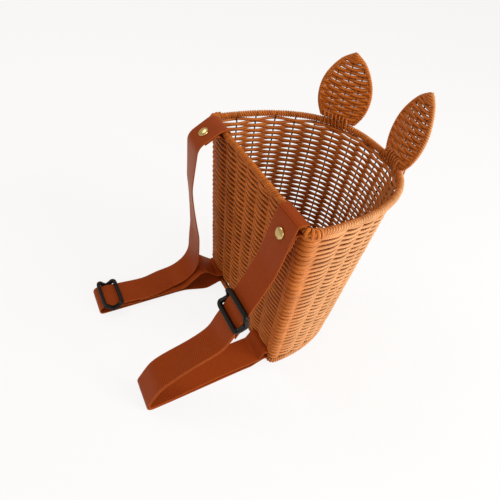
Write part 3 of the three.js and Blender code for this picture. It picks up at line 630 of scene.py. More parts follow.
def polished_brass_plate(tree, look):
    """Pale brass plate on a pressed steel rivet, polished, with faint tarnish."""
    tarnish = noise(tree, place(tree), 3 * MM, 5.0)
    dull = ranged(tree, tarnish, 0.5, 0.8, 0, 0.5)
    return principled(tree, {
        "Base Color": mixed(tree, dull, look.brass, look.brass_dull),
        "Metallic": 1.0, "Roughness": ranged(tree, tarnish, 0.3, 0.7, 0.2, 0.34),
    })


def pale_painted_floor(tree, look):
    """Pale matt floor paint, which the camera sees lit up to the white of the backdrop."""
    light = node(tree, "ShaderNodeLightPath")
    paint = node(tree, "ShaderNodeBsdfDiffuse", {"Color": look.floor})
    glow = node(tree, "ShaderNodeEmission", {"Color": (1, 1, 1, 1), "Strength": 1.0})
    seen = computed(tree, "MULTIPLY", light.outputs["Is Camera Ray"], 0.84)
    return node(tree, "ShaderNodeMixShader", {0: seen, 1: paint.outputs[0], 2: glow.outputs[0]})


SURFACES = {
    "rattan_wall": extruded_polyethylene_rattan,
    "rattan_rim": extruded_polyethylene_rattan,
    "rattan_border": extruded_polyethylene_rattan,
    "stake_wire": pvc_coated_steel_wire,
    "webbing": woven_polyester_webbing,
    "slider_plastic": moulded_acetal,
    "rivet_brass": polished_brass_plate,
}


# Wall, rim and base

BACK_SHARES = (0.24, 0.48, 0.73)
SHORT_INDEX = 3
ROWS_UNDER_SLOT = {"right": 2, "left": 1}
LIFT_FADE = 0.26 * MM
ROW_HEIGHT = 2.2 * MM
ROW_SWAY = 0.1 * MM
ROW_DROOP = 0.09 * MM
WEAVE_STEPS = 8
WEAVE_SEED = 7
# Half the strand's depth as a share of its height, and the shares of the weave's offset at which
# rows pass the two corner stakes, outside and inside in turn
STRAND_DEPTH = 0.43
CORNER_SHARES = (0.8, 0.2)
RING_WIRE = 1.8 * MM
RING_POINTS = 220
WIRE_DOME = 0.4 * MM
WIRE_SIDES = 10
STAKE_STEPS = 9
STAKE_SUNK = 2.2 * MM
NOTCH_DEPTH = 1.1 * MM
NOTCH_REACH = 0.6 * MM
FOOT_GROOVE = 1.1 * MM
FOOT_WINDING = 2.3 * MM
# Thickness of the mat's strand as a share of the mat's, and its half width as a share of its own
MAT_STRAND = 0.62
MAT_STRAND_WIDE = 0.75
MAT_PITCH = 2.6 * MM
MAT_STEPS = 5
# Where each spoke starts and ends, as shares of the way from the middle to the wall
SPOKE_SHARES = (0.04, 0.93)
SPOKE_POINTS = 8
SPOKE_SECTION = (0.6 * MM, 0.45 * MM)


class Wall:
    """Places of the stakes and rows of the wall, as in the CAD source."""

    def __init__(self, scene):
        s, strap = scene.basket_sizes, scene.basket_straps
        self.sizes = s
        self.plan = Plan(s)
        self.stake = self.plan.stakes(BACK_SHARES, s.front_stakes)
        self.count = len(self.stake)
        self.short = {"right": SHORT_INDEX, "left": self.count - SHORT_INDEX}
        self.long = np.delete(self.stake, list(self.short.values()))
        self.low_slot = s.foot_roll + CLEARANCE + strap.thickness / 2
        self.ring_z = self.low_slot + strap.thickness / 2 + CLEARANCE + RING_WIRE / 2
        self.first_row = self.ring_z + RING_WIRE / 2 + CLEARANCE + ROW_HEIGHT / 2
        self.slot_half = strap.thickness / 2 + CLEARANCE + ROW_HEIGHT / 2
        self.slot_lift = 2 * self.slot_half - s.row_pitch
        self.top = self.plan.bend - ROW_HEIGHT / 2
        self.offset = s.stake_wire / 2 + CLEARANCE + ROW_HEIGHT / 2
        self.corner_offset = s.stake_wire / 2 + 3 * CLEARANCE + ROW_HEIGHT / math.sqrt(2)
        self.high_slot = {
            side: self.row(self.short[side], ROWS_UNDER_SLOT[side] - 1) + self.slot_half
            for side in SIDES
        }

    def row(self, index, turn):
        """Height of the strand at a stake on one of its turns."""
        return self.first_row + self.sizes.row_pitch * (turn + index / self.count)

    def lift(self, index, turn):
        """How far a row is pushed up beside a slot, fading over the rows above it."""
        total = np.zeros(np.shape(index))
        for side in SIDES:
            above = turn - ROWS_UNDER_SLOT[side]
            near = (np.abs(index - self.short[side]) <= 1) & (above >= 0)
            total = np.where(near, np.maximum(self.slot_lift - LIFT_FADE * above, 0), total)
        return total

    def along(self, t):
        """Distance round the plan after t stakes, in parts between one stake and the next."""
        marks = np.r_[self.stake, self.plan.length]
        i = np.floor(t).astype(int) % self.count
        return marks[i] + (marks[i + 1] - marks[i]) * (t - np.floor(t))


def eased(values, at):
    """Values at whole numbers, joined by half waves of a cosine."""
    i = np.floor(at).astype(int)
    j = np.minimum(i + 1, len(values) - 1)
    f = (1 - np.cos(math.pi * (at - i))) / 2
    return values[i] + (values[j] - values[i]) * f


def weaver(wall, rng):
    """One strand climbing a row each turn: outside even stakes and inside odd ones, with the
    distance from the plan easing between them, and a little unevenness at every stake. Round the
    two corner stakes it stays outside the plan, so that the rows close up."""
    s = wall.sizes
    highest = wall.plan.under - s.strand / 2
    steps = int((highest - wall.first_row) / s.row_pitch * wall.count) + wall.count
    step = np.arange(steps + 2)
    index, turn = step % wall.count, step // wall.count
    z = wall.row(index, turn) + wall.lift(index, turn) + rng.normal(0, ROW_DROOP, len(step))
    corner = np.abs(index - wall.count / 2) == wall.count / 2 - SHORT_INDEX - 1
    outer = np.where(corner, CORNER_SHARES[0], 1) * wall.offset
    inner = np.where(corner, CORNER_SHARES[1], -1) * wall.offset
    away = np.where(step % 2, inner, outer) + rng.normal(0, ROW_SWAY, len(step))
    for side in SIDES:
        bare = (index == wall.short[side]) & (turn < ROWS_UNDER_SLOT[side])
        away = np.where(bare, 0, away)
    t = np.arange(steps * WEAVE_STEPS + 1) / WEAVE_STEPS
    d = wall.along(t)
    height = np.interp(t, step, np.minimum(z, highest))
    return wall.plan.at(d, height) + wall.plan.out(d) * eased(away, t)[:, None]


class BASKET_OT_weave(bpy.types.Operator):
    """Weaves the wall from one strand that climbs round the stakes"""

    bl_idname = "basket.weave"
    bl_label = "Weave the wall"
    bl_options = {"REGISTER", "UNDO"}

    def execute(self, context):
        scene = context.scene
        s = scene.basket_sizes
        path = weaver(Wall(scene), np.random.default_rng(WEAVE_SEED))
        section = oval(STRAND_DEPTH * s.strand, s.strand / 2, 10)
        Skin().add(*carried(path, section, UP, ends=s.strand / 2)).piece(
            "wall_weave", "basket", "rattan_wall", "wall_weaver"
        )
        return {"FINISHED"}


class BASKET_OT_stakes(bpy.types.Operator):
    """Stands the wire stakes round the base ring"""

    bl_idname = "basket.stakes"
    bl_label = "Stand the stakes"
    bl_options = {"REGISTER", "UNDO"}

    def execute(self, context):
        scene = context.scene
        s = scene.basket_sizes
        strap = scene.basket_straps
        wall = Wall(scene)
        plan = wall.plan
        section = disc(s.stake_wire, WIRE_SIDES)
        ring = plan.at(even(RING_POINTS, plan.length), wall.ring_z)
        ring = carried(ring, disc(RING_WIRE, WIRE_SIDES), UP, closed=True)
        foot, head = s.foot_roll - STAKE_SUNK, plan.under + STAKE_SUNK
        spans = [("stakes_wire", "stake_frame", wall.long, foot, head)]
        for side, index in wall.short.items():
            foot = wall.high_slot[side] + strap.thickness / 2 + CLEARANCE
            head, marks = wall.top + ROW_HEIGHT / 2, wall.stake[index : index + 1]
            spans.append((f"{side}_short_wire", f"{side}_short_stake", marks, foot, head))
        for name, cad_node, marks, low, high in spans:
            skin = Skin()
            bent = np.linspace(plan.bend, high, STAKE_STEPS)[1:]
            z = np.r_[np.linspace(low, plan.bend, STAKE_STEPS), bent]
            z = z[z <= high]
            for mark in marks:
                line = plan.at(mark + 0 * z, z)
                skin.add(*carried(line, section, ACROSS, ends=WIRE_DOME))
            if cad_node == "stake_frame":
                skin.add(*ring, closed=True)
            skin.piece(name, "basket", "stake_wire", cad_node)
        return {"FINISHED"}


class BASKET_OT_rolls(bpy.types.Operator):
    """Winds the rim and the border round the foot"""

    bl_idname = "basket.rolls"
    bl_label = "Wind the rim and foot"
    bl_options = {"REGISTER", "UNDO"}

    def execute(self, context):
        scene = context.scene
        s = scene.basket_sizes
        wall = Wall(scene)
        plan = wall.plan

        def notches(at, angle):
            """A dip at each long stake, where one run of winding ends and the next starts. Its
            depth is 1 on the inner side and a tenth on the outer: 0.55 - 0.45 * cos."""
            gap = np.abs(at[..., None] - wall.long).min(-1)
            inner = 0.55 - 0.45 * np.cos(angle)
            return NOTCH_DEPTH * np.exp(-((gap / NOTCH_REACH) ** 2)) * inner

        rim = wound(
            plan.rim(), s.rim_roll / 2, s.winding_depth, s.winding,
            sides=20, slant=0.6, dips=notches,
        )
        Skin().add(*rim, closed=True).piece("rim_winding", "basket", "rattan_rim", "rim_roll")
        low = plan.at(even(OUTLINE_POINTS, plan.length), s.foot_roll / 2)
        low = Track(low, UP, closed=True)
        foot = wound(low, s.foot_roll / 2, FOOT_GROOVE, FOOT_WINDING, sides=16, slant=0.4)
        Skin().add(*foot, closed=True).piece(
            "foot_winding", "basket", "rattan_border", "base_border"
        )
        return {"FINISHED"}


class BASKET_OT_mat(bpy.types.Operator):
    """Weaves the mat that closes the bottom"""

    bl_idname = "basket.mat"
    bl_label = "Weave the bottom"
    bl_options = {"REGISTER", "UNDO"}

    def execute(self, context):
        scene = context.scene
        s = scene.basket_sizes
        wall = Wall(scene)
        plan = wall.plan
        thick = extent("base_mat", 2) * MM
        strand = MAT_STRAND * thick
        border = s.foot_roll / 2 + strand / 2 + WIRE_DOME
        reach = plan.deep[0] / 2 - s.foot_roll / 2 - strand
        turns = int(reach / MAT_PITCH)
        t = np.arange(turns * wall.count * MAT_STEPS) / MAT_STEPS
        d = wall.along(t)
        edge = plan.at(d, 0) - plan.out(d) * border
        middle = np.array([0, plan.back[0] + plan.deep[0] / 2, 0])
        inward = 1 - t / wall.count * MAT_PITCH / (reach + strand)
        path = middle + (edge - middle) * inward[:, None]
        path[:, 2] = thick / 2 + (thick - strand) / 2 * np.cos(math.pi * t)
        section = oval(strand * MAT_STRAND_WIDE, strand / 2, 8)
        skin = Skin().add(*carried(path, section, UP, ends=strand / 2))
        for spoke in plan.at(wall.stake, 0):
            line = middle + (spoke - middle) * np.linspace(*SPOKE_SHARES, SPOKE_POINTS)[:, None]
            line[:, 2] = thick / 2
            skin.add(*carried(line, oval(*SPOKE_SECTION, 8), UP, ends=WIRE_DOME))
        skin.piece("bottom_weave", "basket", "rattan_border", "base_mat")
        return {"FINISHED"}


COIL_STEPS = 28
COIL_SHORT = 0.25
LASHING_STRAND = 3.0 * MM
LASHING_PITCH = 3.3 * MM
LASHING_TURNS = 4
LASHING_START = 1.0 * MM
LASHING_SUNK = 2.2 * MM


def coil(rim, radius, middle, turns, pitch, strand, top=0):
    """A strand wound round the rim: its angle falls by a full turn each time round, and it moves
    on by one pitch along the inner side only. Above the rim it reaches up to the height top."""
    reach = radius + 2 * CLEARANCE + strand / 2
    t = np.linspace(0, turns - COIL_SHORT, int((turns - COIL_SHORT) * COIL_STEPS))
    part = np.mod(t, 1)
    onward = smooth(np.clip(2 * part - 1, 0, 1))
    at = middle + pitch * (np.floor(t) + onward - turns / 2 + 0.5)
    point, tangent, side, lift = rim.at(at)
    angle = math.pi / 2 - 2 * math.pi * part
    c, s = np.cos(angle), np.sin(angle)
    raised = (s > 0) & (top > reach)
    power = np.where(raised, 0.5, 1.0)
    a = reach * signed_power(c, power)
    b = np.where(raised, top, reach) * signed_power(s, power)
    path = point + side * a[:, None] + lift * b[:, None]
    return carried(path, disc(strand), -tangent, ends=strand / 2)


class BASKET_OT_lashings(bpy.types.Operator):
    """Winds the lashings beside the two back corners"""

    bl_idname = "basket.lashings"
    bl_label = "Lash the corners"
    bl_options = {"REGISTER", "UNDO"}

    def execute(self, context):
        s = context.scene.basket_sizes
        plan = Plan(s)
        start = plan.corner_start + LASHING_START + LASHING_TURNS * LASHING_PITCH / 2
        radius = s.rim_roll / 2 - LASHING_SUNK
        winding = (LASHING_TURNS, LASHING_PITCH, LASHING_STRAND)
        for side, middle in zip(SIDES, (start, plan.length - start)):
            Skin().add(*coil(plan.rim(), radius, middle, *winding)).piece(
                f"{side}_corner_tie", "basket", "rattan_rim", f"{side}_corner_lashing"
            )
        return {"FINISHED"}


# Ears

EAR_OUTLINE = (
    (0, 0.7), (0.16, 0.91), (0.34, 1), (0.54, 0.95), (0.74, 0.72), (0.9, 0.39), (1, 0),
)
EAR_STAKE = {"right": 11, "left": 15}
EAR_SPINES = (-0.5, 0, 0.5)
EAR_POINTS = 160
EAR_FOOT_POINTS = 60
EAR_EDGE_POINTS = 400
EAR_EDGE_ROUNDING = 4
EAR_GROOVE = 0.7 * MM
EAR_WINDING = 2.1 * MM
EAR_TIE = 1.7 * MM
EAR_TIE_TURNS = 8
EAR_DOME = 0.3 * MM
TIP_TIE_DROP = 6.5 * MM
TIP_TIE_TURNS = 4
TIP_TIE_STEPS = 24
TIP_TIE_OUT = 0.5 * MM
TIP_CUT_END = np.array([[0.4, -4, 1], [0.9, -0.8, 1.9], [1.3, 1.4, 1.5]]) * MM
TIP_CUT_POINTS = 10
EAR_SPINE_POINTS = 16
EAR_ROW_POINTS = 49
EAR_FIRST_ROW = 2.5 * MM
EAR_ROWS_SHORT = 9.5 * MM
EAR_ROW_SAG = 3.2 * MM
EAR_ROW_SWING = 0.9 * MM


class Ear:
    """One ear's place and outline: u runs along the rim, v up the blade and w across it."""

    def __init__(self, wall, rim, side):
        s = wall.sizes
        self.sizes = s
        self.edge = s.ear_edge / 2
        self.spine_gap = s.ear_half_width * EAR_SPINES[2]
        self.tie_pitch = self.spine_gap / 3
        self.blade = s.total_height - s.wall_height - 2 * self.edge - CLEARANCE
        half = np.array(EAR_OUTLINE)[:, ::-1] * [s.ear_half_width, self.blade]
        self.half = spline(half, EAR_POINTS)
        self.middle = wall.plan.near(wall.stake[EAR_STAKE[side]])
        point, self.along, out, _ = (v[0] for v in rim.at([self.middle]))
        self.tall = unit(UP * self.blade + out * getattr(s, f"{side}_ear_lean"))
        self.normal = unit(np.cross(self.along, self.tall))
        reach = rim.at([self.middle + self.tie_pitch * (EAR_TIE_TURNS - 1) / 2])[0][0]
        foot = point + out * np.dot(reach - point, out) / 2
        self.foot = foot + UP * (s.rim_roll / 2 + CLEARANCE + self.edge)

    def at(self, u, v, w=0.0):
        """Foot + u * along + v * tall + w * normal."""
        u, v, w = (part[..., None] for part in np.broadcast_arrays(u, v, w))
        return self.foot + u * self.along + v * self.tall + w * self.normal

    def width(self, v):
        return np.interp(v, self.half[:, 1], self.half[:, 0])

    def wound_edge(self):
        """The outline, closed along the foot and rounded off, as a roll wound with strand."""
        outline = np.concatenate([self.half, self.half[-2::-1] * [-1, 1]])
        foot_line = np.linspace(outline[-1], outline[0], EAR_FOOT_POINTS)[1:-1]
        outline = np.concatenate([outline, foot_line])
        route = Track(self.at(*outline.T), self.normal, closed=True)
        line = route.at(even(EAR_EDGE_POINTS, route.length))[0]
        for _ in range(EAR_EDGE_ROUNDING):
            line = (np.roll(line, 1, 0) + 2 * line + np.roll(line, -1, 0)) / 4
        route = Track(line, self.normal, closed=True)
        return wound(route, self.edge, EAR_GROOVE, EAR_WINDING, sides=14, slant=0.5)

    def tied_tip(self):
        """Close turns round both edges where they meet, u = width * cos and w = depth * sin, and
        the strand's two cut ends."""
        tie = disc(EAR_TIE)
        t = np.linspace(0, TIP_TIE_TURNS, TIP_TIE_TURNS * TIP_TIE_STEPS)
        v = self.blade - TIP_TIE_DROP + t * EAR_TIE
        u = (self.width(v) + self.edge + CLEARANCE) * np.cos(2 * math.pi * t)
        w = (self.edge + TIP_TIE_OUT) * np.sin(2 * math.pi * t)
        yield carried(self.at(u, v, w), tie, self.tall, ends=EAR_TIE / 2)
        for way in (-1, 1):
            u, v, w = spline(TIP_CUT_END * [way, 1, way], TIP_CUT_POINTS).T
            yield carried(self.at(u, self.blade + v, w), tie, self.normal, ends=EAR_DOME)

    def spines(self):
        """Straight wires from the foot up to the outline."""
        section = disc(self.sizes.stake_wire)
        top = self.half[self.half[:, 1] > self.blade / 2]
        for part in EAR_SPINES:
            u = part * self.sizes.ear_half_width
            end = np.interp(-abs(u), -top[:, 0], top[:, 1])
            v = np.linspace(0, end, EAR_SPINE_POINTS)
            yield carried(self.at(u, v), section, self.normal, ends=EAR_DOME)

    def rows(self):
        """Strands from edge to edge at t from -1 to 1. Each sags by sag * (1 - t * t) and swings
        as a cosine before one spine and behind the next, the other way in every second row."""
        s = self.sizes
        row = np.arange(int((self.blade - EAR_ROWS_SHORT) / s.ear_pitch) + 1)[:, None]
        t = np.linspace(-1, 1, EAR_ROW_POINTS)
        base = self.edge + EAR_FIRST_ROW + row * s.ear_pitch
        wide = self.width(base)
        sag = EAR_ROW_SAG * wide / s.ear_half_width * (1 - t**2)
        swing = EAR_ROW_SWING * np.cos(math.pi * (wide * t / self.spine_gap + row))
        for path in self.at(wide * t, base - sag, swing):
            yield carried(path, disc(s.ear_strand), self.normal, dark=0)

    def lashing(self, rim):
        """The strand that ties the foot to the rim, wound over the ear's lower edge."""
        radius = self.sizes.rim_roll / 2
        top = radius + 3 * CLEARANCE + self.sizes.ear_edge + EAR_TIE / 2
        yield coil(rim, radius, self.middle, EAR_TIE_TURNS, self.tie_pitch, EAR_TIE, top)


class BASKET_OT_ears(bpy.types.Operator):
    """Makes the two ears: wound edge, spines, woven strand, tied tip and lashing"""

    bl_idname = "basket.ears"
    bl_label = "Make the ears"
    bl_options = {"REGISTER", "UNDO"}

    def execute(self, context):
        wall = Wall(context.scene)
        rim = wall.plan.rim()
        for side in EAR_STAKE:
            ear = Ear(wall, rim, side)
            edge = Skin().add(*ear.wound_edge(), closed=True)
            for skin, parts, name, slot, *replaced in (
                (edge, ear.tied_tip(), "edge", "rattan_rim", "frame"),
                (Skin(), ear.spines(), "spines", "stake_wire"),
                (Skin(), ear.rows(), "rows", "rattan_wall", "weave"),
                (Skin(), ear.lashing(rim), "tie", "rattan_rim", "lashing"),
            ):
                for part in parts:
                    skin.add(*part)
                nodes = [f"{side}_ear_{last}" for last in replaced]
                skin.piece(f"{side}_ear_{name}", "basket", slot, *nodes)
        return {"FINISHED"}


# Straps

# Each strap's own curve. Corners are shares of its reach out, of the wall height and of its reach
# for the bend; the slider lies between the upper and the lower corners, and the back corners lead
# the inner layer from the wall to the floor
STRAPS = {
    "right": {
        "reach": 128.2 * MM, "travel": (-11 * MM, 11 * MM), "slider_in": 0.0,
        "fold_in": 7.8 * MM, "slot_out": 1.2 * MM, "back_in": 0, "rivet": 0.35, "tail": 0.96,
        "slider": 0.4455, "twist": (9, 30, 84),
        "upper": ((0.054, 1.0075, 0.03), (0.148, 0.758, 0.5), (0.234, 0.638, 0.3)),
        "lower": ((0.465, 0.3586, 0.25), (0.9, 0.152, 0.3), (1, 0.045, 0.06)),
        "back": ((0.05, 0.034, 0.03), (0.36, 0.0117, 0.2)),
    },
    "left": {
        "reach": 141.2 * MM, "travel": (-25 * MM, 0.0), "slider_in": 9.3 * MM,
        "fold_in": 6.2 * MM, "slot_out": 3.5 * MM, "back_in": 0.9, "rivet": 0.53, "tail": 0.985,
        "slider": 0.76, "twist": (12, 40, 214),
        "upper": (
            (0.031, 1.009, 0.09), (0.202, 0.932, 0.1), (0.216, 0.688, 0.42),
            (0.159, 0.359, 0.42), (0.162, 0.02, 0.23), (0.56, 0.035, 0.5),
        ),
        "lower": ((1, 0.055, 0.038),),
        "back": ((0.125, 0.124, 0.075), (0.303, 0.012, 0.12)),
    },
}
SLOT_REACH = 4 * MM
FLOOR_BEND = 0.7
END_REACH = 4 * MM
SEWN_LAP = 3.5 * MM
ROUTE_STEP = 4 * MM
ROUTE_MERGE = 0.05 * MM
# Bends of less than this angle are left straight
ROUTE_STRAIGHT = 1e-3
BEND_STEP = math.radians(5)
# Reach and width, in millimetres, of the bell curve that smooths the sideways shifts
SIDEWAYS_REACH = 24
SIDEWAYS_WIDTH = 9


def rounded_route(corners):
    """Straight runs joined by round bends. A corner is (y + iz, bend radius, x): each bend is the
    circle that touches both runs, turned about its centre."""
    places = np.array([c[0] for c in corners])
    route = [(places[0], corners[0][2])]
    for i in range(1, len(corners) - 1):
        here, bend, x = corners[i]
        back, on = places[i - 1] - here, places[i + 1] - here
        back, on = back / abs(back), on / abs(on)
        turn = math.pi - abs(np.angle(on / back))
        if turn < ROUTE_STRAIGHT:
            route.append((here, x))
            continue
        start = here + back * bend * math.tan(turn / 2)
        middle = here + (back + on) / abs(back + on) * bend / math.cos(turn / 2)
        way = np.sign((back * np.conj(on)).imag)
        steps = max(2, math.ceil(turn / BEND_STEP))
        spin = np.exp(1j * way * turn * np.arange(steps + 1) / steps)
        route += [(middle + (start - middle) * r, x) for r in spin]
    route.append((places[-1], corners[-1][2]))
    flat = np.array([r[0] for r in route])
    mark = np.r_[0, np.cumsum(np.abs(np.diff(flat)))]
    at = np.unique(np.round(np.r_[mark, np.arange(0, mark[-1], ROUTE_STEP)], 6))
    at = at[np.r_[True, np.diff(at) > ROUTE_MERGE]]
    y, z = np.interp(at, mark, flat.real), np.interp(at, mark, flat.imag)
    steady = np.linspace(0, mark[-1], int(mark[-1] / MM))
    x = np.interp(steady, mark, [r[1] for r in route])
    reach = np.arange(-SIDEWAYS_REACH, SIDEWAYS_REACH + 1)
    weight = np.exp(-((reach / SIDEWAYS_WIDTH) ** 2) / 2)
    x = np.convolve(np.pad(x, SIDEWAYS_REACH, mode="edge"), weight / weight.sum(), "valid")
    return np.stack([np.interp(at, steady, x), y, z], 1)


def beside(corners, distance):
    """The same corners moved sideways, towards the outer side where the distance is positive."""
    places = np.array([c[0] for c in corners])
    run = np.diff(places)
    run = run / np.abs(run)
    before, after = np.r_[run[:1], run], np.r_[run, run[-1:]]
    side = -1j * (before + after)
    side = side / np.abs(side)
    side = side / (side * np.conj(-1j * after)).real
    turn = np.sign((np.conj(before) * after).imag)
    moved = places + side * distance
    return [(p, c[1] + t * distance, c[2]) for p, c, t in zip(moved, corners, turn)]


class Strap:
    """One strap's corners and its slider's seat, as in the CAD source, with y + iz as the plane."""

    def __init__(self, scene, side):
        wall = Wall(scene)
        s, t = scene.basket_sizes, scene.basket_straps
        plan, sign, p = wall.plan, SIDES[side], STRAPS[side]
        self.sizes, self.towards, self.twist = t, sign, p["twist"]
        self.layer = t.thickness + t.layer_gap
        rim_y = plan.back[1]
        rim_x = sign * (plan.corner_start - t.width / 2 - CLEARANCE)
        self.rim_x = rim_x
        slot_x, inner_y, outer_y = self.slots(wall)
        slot_x += sign * p["slot_out"]
        floor_z = t.thickness / 2
        low, high = wall.low_slot, wall.high_slot[side]
        upper = len(p["upper"])
        slider_x, fold_x = rim_x - sign * p["slider_in"], rim_x - sign * p["fold_in"]
        across = [rim_x] * (upper - 1) + [slider_x] * 2 + [fold_x] * (len(p["lower"]) - 1)

        def corner(shares, x):
            out, up, bend = shares
            return complex(rim_y - out * p["reach"], up * s.wall_height), bend * p["reach"], x

        hanging = [corner(shares, x) for shares, x in zip(p["upper"] + p["lower"], across)]
        fold = hanging[-1]
        tight = t.fold_radius
        floor_run = [
            (complex(fold[0].real, floor_z), fold[1] * FLOOR_BEND, fold[2]),
            (complex(outer_y - 2 * low, floor_z), t.width / 2, slot_x),
        ]
        if side == "left":
            floor_run.insert(1, (complex(outer_y - 5 * low, floor_z), t.width, fold_x))
        main = hanging + floor_run + [
            (complex(outer_y, low), low / 2, slot_x),
            (complex(inner_y, low), tight, slot_x),
            (complex(inner_y, high), tight, slot_x),
            (complex(outer_y, high), tight, slot_x),
        ]
        crest, shoulder = hanging[0][0], hanging[1][0]
        self.fall = (shoulder - crest) / abs(shoulder - crest)
        self.rivet = crest + (shoulder - crest) * p["rivet"]
        start, end = hanging[upper - 1][0], hanging[upper][0]
        self.line = (end - start) / abs(end - start)
        self.seat = start + self.line * p["slider"] * abs(end - start)
        self.seat_x = slider_x
        travel = max(v * sign for v in p["travel"])
        self.start_gap = END_REACH + travel + 2 * CLEARANCE
        inner = beside(main, -self.layer)
        back_x = slot_x + (fold_x - slot_x) * p["back_in"]
        returning = [corner(shares, back_x) for shares in p["back"]]
        returning += inner[upper : len(hanging) + 1][::-1] if sign > 0 else [inner[upper - 1]]
        returning.append((self.on(sign * self.start_gap, -self.layer), 0, self.seat_x))
        wrap = s.rim_roll / 2 + CLEARANCE + t.thickness / 2
        tail = self.tail(complex(rim_y, plan.rim_z), wrap, crest, p["tail"] * s.wall_height)
        self.corners = tail + main + returning

    def slots(self, wall):
        """X of the slots beside the back corner's stake, and y inside and outside the weave."""
        s, t, plan = wall.sizes, self.sizes, wall.plan
        corner_x = plan.half[0] - plan.corner[0] * (1 - math.sqrt(0.5))
        x = self.towards * (corner_x - (s.stake_wire + ROW_HEIGHT + t.width) / 2 - CLEARANCE)
        level = plan.flare * wall.ring_z / plan.rim_z
        foot_y = plan.back[0] + (plan.back[1] - plan.back[0]) * level
        inner_y = foot_y + wall.corner_offset + (ROW_HEIGHT + t.thickness) / 2 + CLEARANCE
        return x, inner_y, foot_y - wall.offset - ROW_HEIGHT / 2 - SLOT_REACH

    def tail(self, rim, wrap, crest, top_z):
        """The riveted tail: up behind the outer layer to a fold at top_z, then under the rim's
        roll and round it. The run from the fold touches the circle of radius wrap."""
        fall, x = self.fall, self.rim_x
        top_y = crest.real + fall.real / fall.imag * (top_z - crest.imag)
        top = complex(top_y + self.layer / abs(fall.imag), top_z)
        drop = np.angle(top - rim)
        touch = (drop - 2 * math.pi if drop > 0 else drop) + math.acos(wrap / abs(top - rim))
        under = wrap * math.tan((touch + math.pi / 2) / 2)
        return [
            (top + fall * self.sizes.riveted_length, 0, x),
            (top, self.sizes.fold_radius, x),
            (rim + complex(under, -wrap), wrap, x),
            (rim + complex(wrap, -wrap), wrap, x),
            (rim + complex(wrap, wrap), wrap, x),
        ]

    def on(self, along, out):
        """A point by the slider's seat: along the strap's run and out from its middle layer."""
        return self.seat + self.line * along - 1j * self.line * out

    def end_corners(self):
        """The sewn end: up to the middle bar, round it, and back over itself."""
        t = self.sizes
        core = t.slider_core / 2
        fold_top = -(t.thickness + CLEARANCE)
        core_n = fold_top - t.thickness / 2 - CLEARANCE - core
        reach = core + CLEARANCE + t.thickness / 2
        tail_n = fold_top - t.thickness / 2 - t.layer_gap - t.thickness - CLEARANCE
        return [
            (self.on(self.towards * along, out), bend, self.seat_x)
            for along, out, bend in (
                (END_REACH, fold_top, 0), (-reach, fold_top, reach),
                (-reach, core_n - reach, reach), (reach, core_n - reach, reach),
                (2 * reach + t.thickness, tail_n, reach), (self.start_gap + SEWN_LAP, tail_n, 0),
            )
        ]


def twisted(path, degrees, low, high):
    """The webbing's direction across itself: along X, turned out by degrees * sin(pi * h) squared,
    where h is the share of the height between low and high, in millimetres. Only steep runs turn,
    by clip(2.5 * |tangent z| - 0.5), and the rising layer turns with the falling one."""
    tangent = directions(path)
    out = unit(np.cross(tangent, ACROSS))
    h = np.clip((path[:, 2] / MM - low) / (high - low), 0, 1)
    steep = np.clip(2.5 * np.abs(tangent[:, 2]) - 0.5, 0, 1) * np.sign(-tangent[:, 2])
    turn = math.radians(degrees) * np.sin(math.pi * h) ** 2 * steep
    return ACROSS * np.cos(turn)[:, None] + out * np.sin(turn)[:, None]


def webbing_section(width, thickness):
    """Flat band closed by half circles, with a shallow groove beside each woven edge: its half
    thickness at the share w of its half width is h * (1 - 0.1 * exp(-((w - 0.86) / 0.04)^2))."""
    h, half = thickness / 2, width / 2
    part = np.array([0, 0.2, 0.4, 0.6, 0.75, 0.86, 0.93])
    face = np.stack([h - 0.1 * h * np.exp(-(((part - 0.86) / 0.04) ** 2)), part * half], 1)
    angle = np.linspace(0, math.pi, 9)
    edge = np.stack([h * np.cos(angle), half - h + h * np.sin(angle)], 1)
    upper = np.concatenate([face, edge, face[::-1] * [-1, 1]])
    return np.concatenate([upper, upper[1:-1][::-1] * [1, -1]])


class BASKET_OT_straps(bpy.types.Operator):
    """Lays the two webbing straps and their sewn ends"""

    bl_idname = "basket.straps"
    bl_label = "Lay the straps"
    bl_options = {"REGISTER", "UNDO"}

    def execute(self, context):
        scene = context.scene
        strap = scene.basket_straps
        section = webbing_section(strap.width, strap.thickness)
        for side in SIDES:
            made = Strap(scene, side)
            path = rounded_route(made.corners)
            Skin().add(*carried(path, section, twisted(path, *made.twist))).piece(
                f"{side}_webbing", "basket", "webbing", f"{side}_strap"
            )
            path = rounded_route(made.end_corners())
            Skin().add(*carried(path, section, ACROSS)).piece(
                f"{side}_sewn_end", f"{side}_slider", "webbing", f"{side}_strap_end"
            )
        return {"FINISHED"}


# Sliders and rivets

# Powers of the slider's outline and of its bars' section: less than 1 squares the corners
SLIDER_SQUARENESS = 0.22
BAR_SQUARENESS = 0.4
SLIDER_ANGLES = 160
SLIDER_POINTS = 180
BAR_SIDES = 20
CORE_SIDES = 16
CORE_POINTS = 20
# How far the rails stand off the middle bar, as a share of an end bar
CORE_RISE = 0.25
RIVET_SET = 0.3 * CLEARANCE
RIVET_POST = 1.9 * MM
RIVET_RIM = 0.5 * MM
RIVET_SIDES = 48
RIVET_STEPS = 12
# Power of the dome's curve, and where its underside starts as a share of the head's radius
RIVET_CURVE = 0.9
RIVET_UNDERSIDE = 0.9
# Shares of the cap's radius, and millimetres from its face
CAP_OUTLINE = ((0, -1.5), (0.5, -1.45), (0.85, -1.15), (1, -0.5), (0.97, 0), (0, 0))


def seated(points, origin, x, direction):
    """Points given as across, out and along, set on a strap at origin with its direction."""
    out = -1j * direction
    y = origin.real + points[..., 1] * out.real + points[..., 2] * direction.real
    z = origin.imag + points[..., 1] * out.imag + points[..., 2] * direction.imag
    return np.stack([x + points[..., 0], y, z], -1)


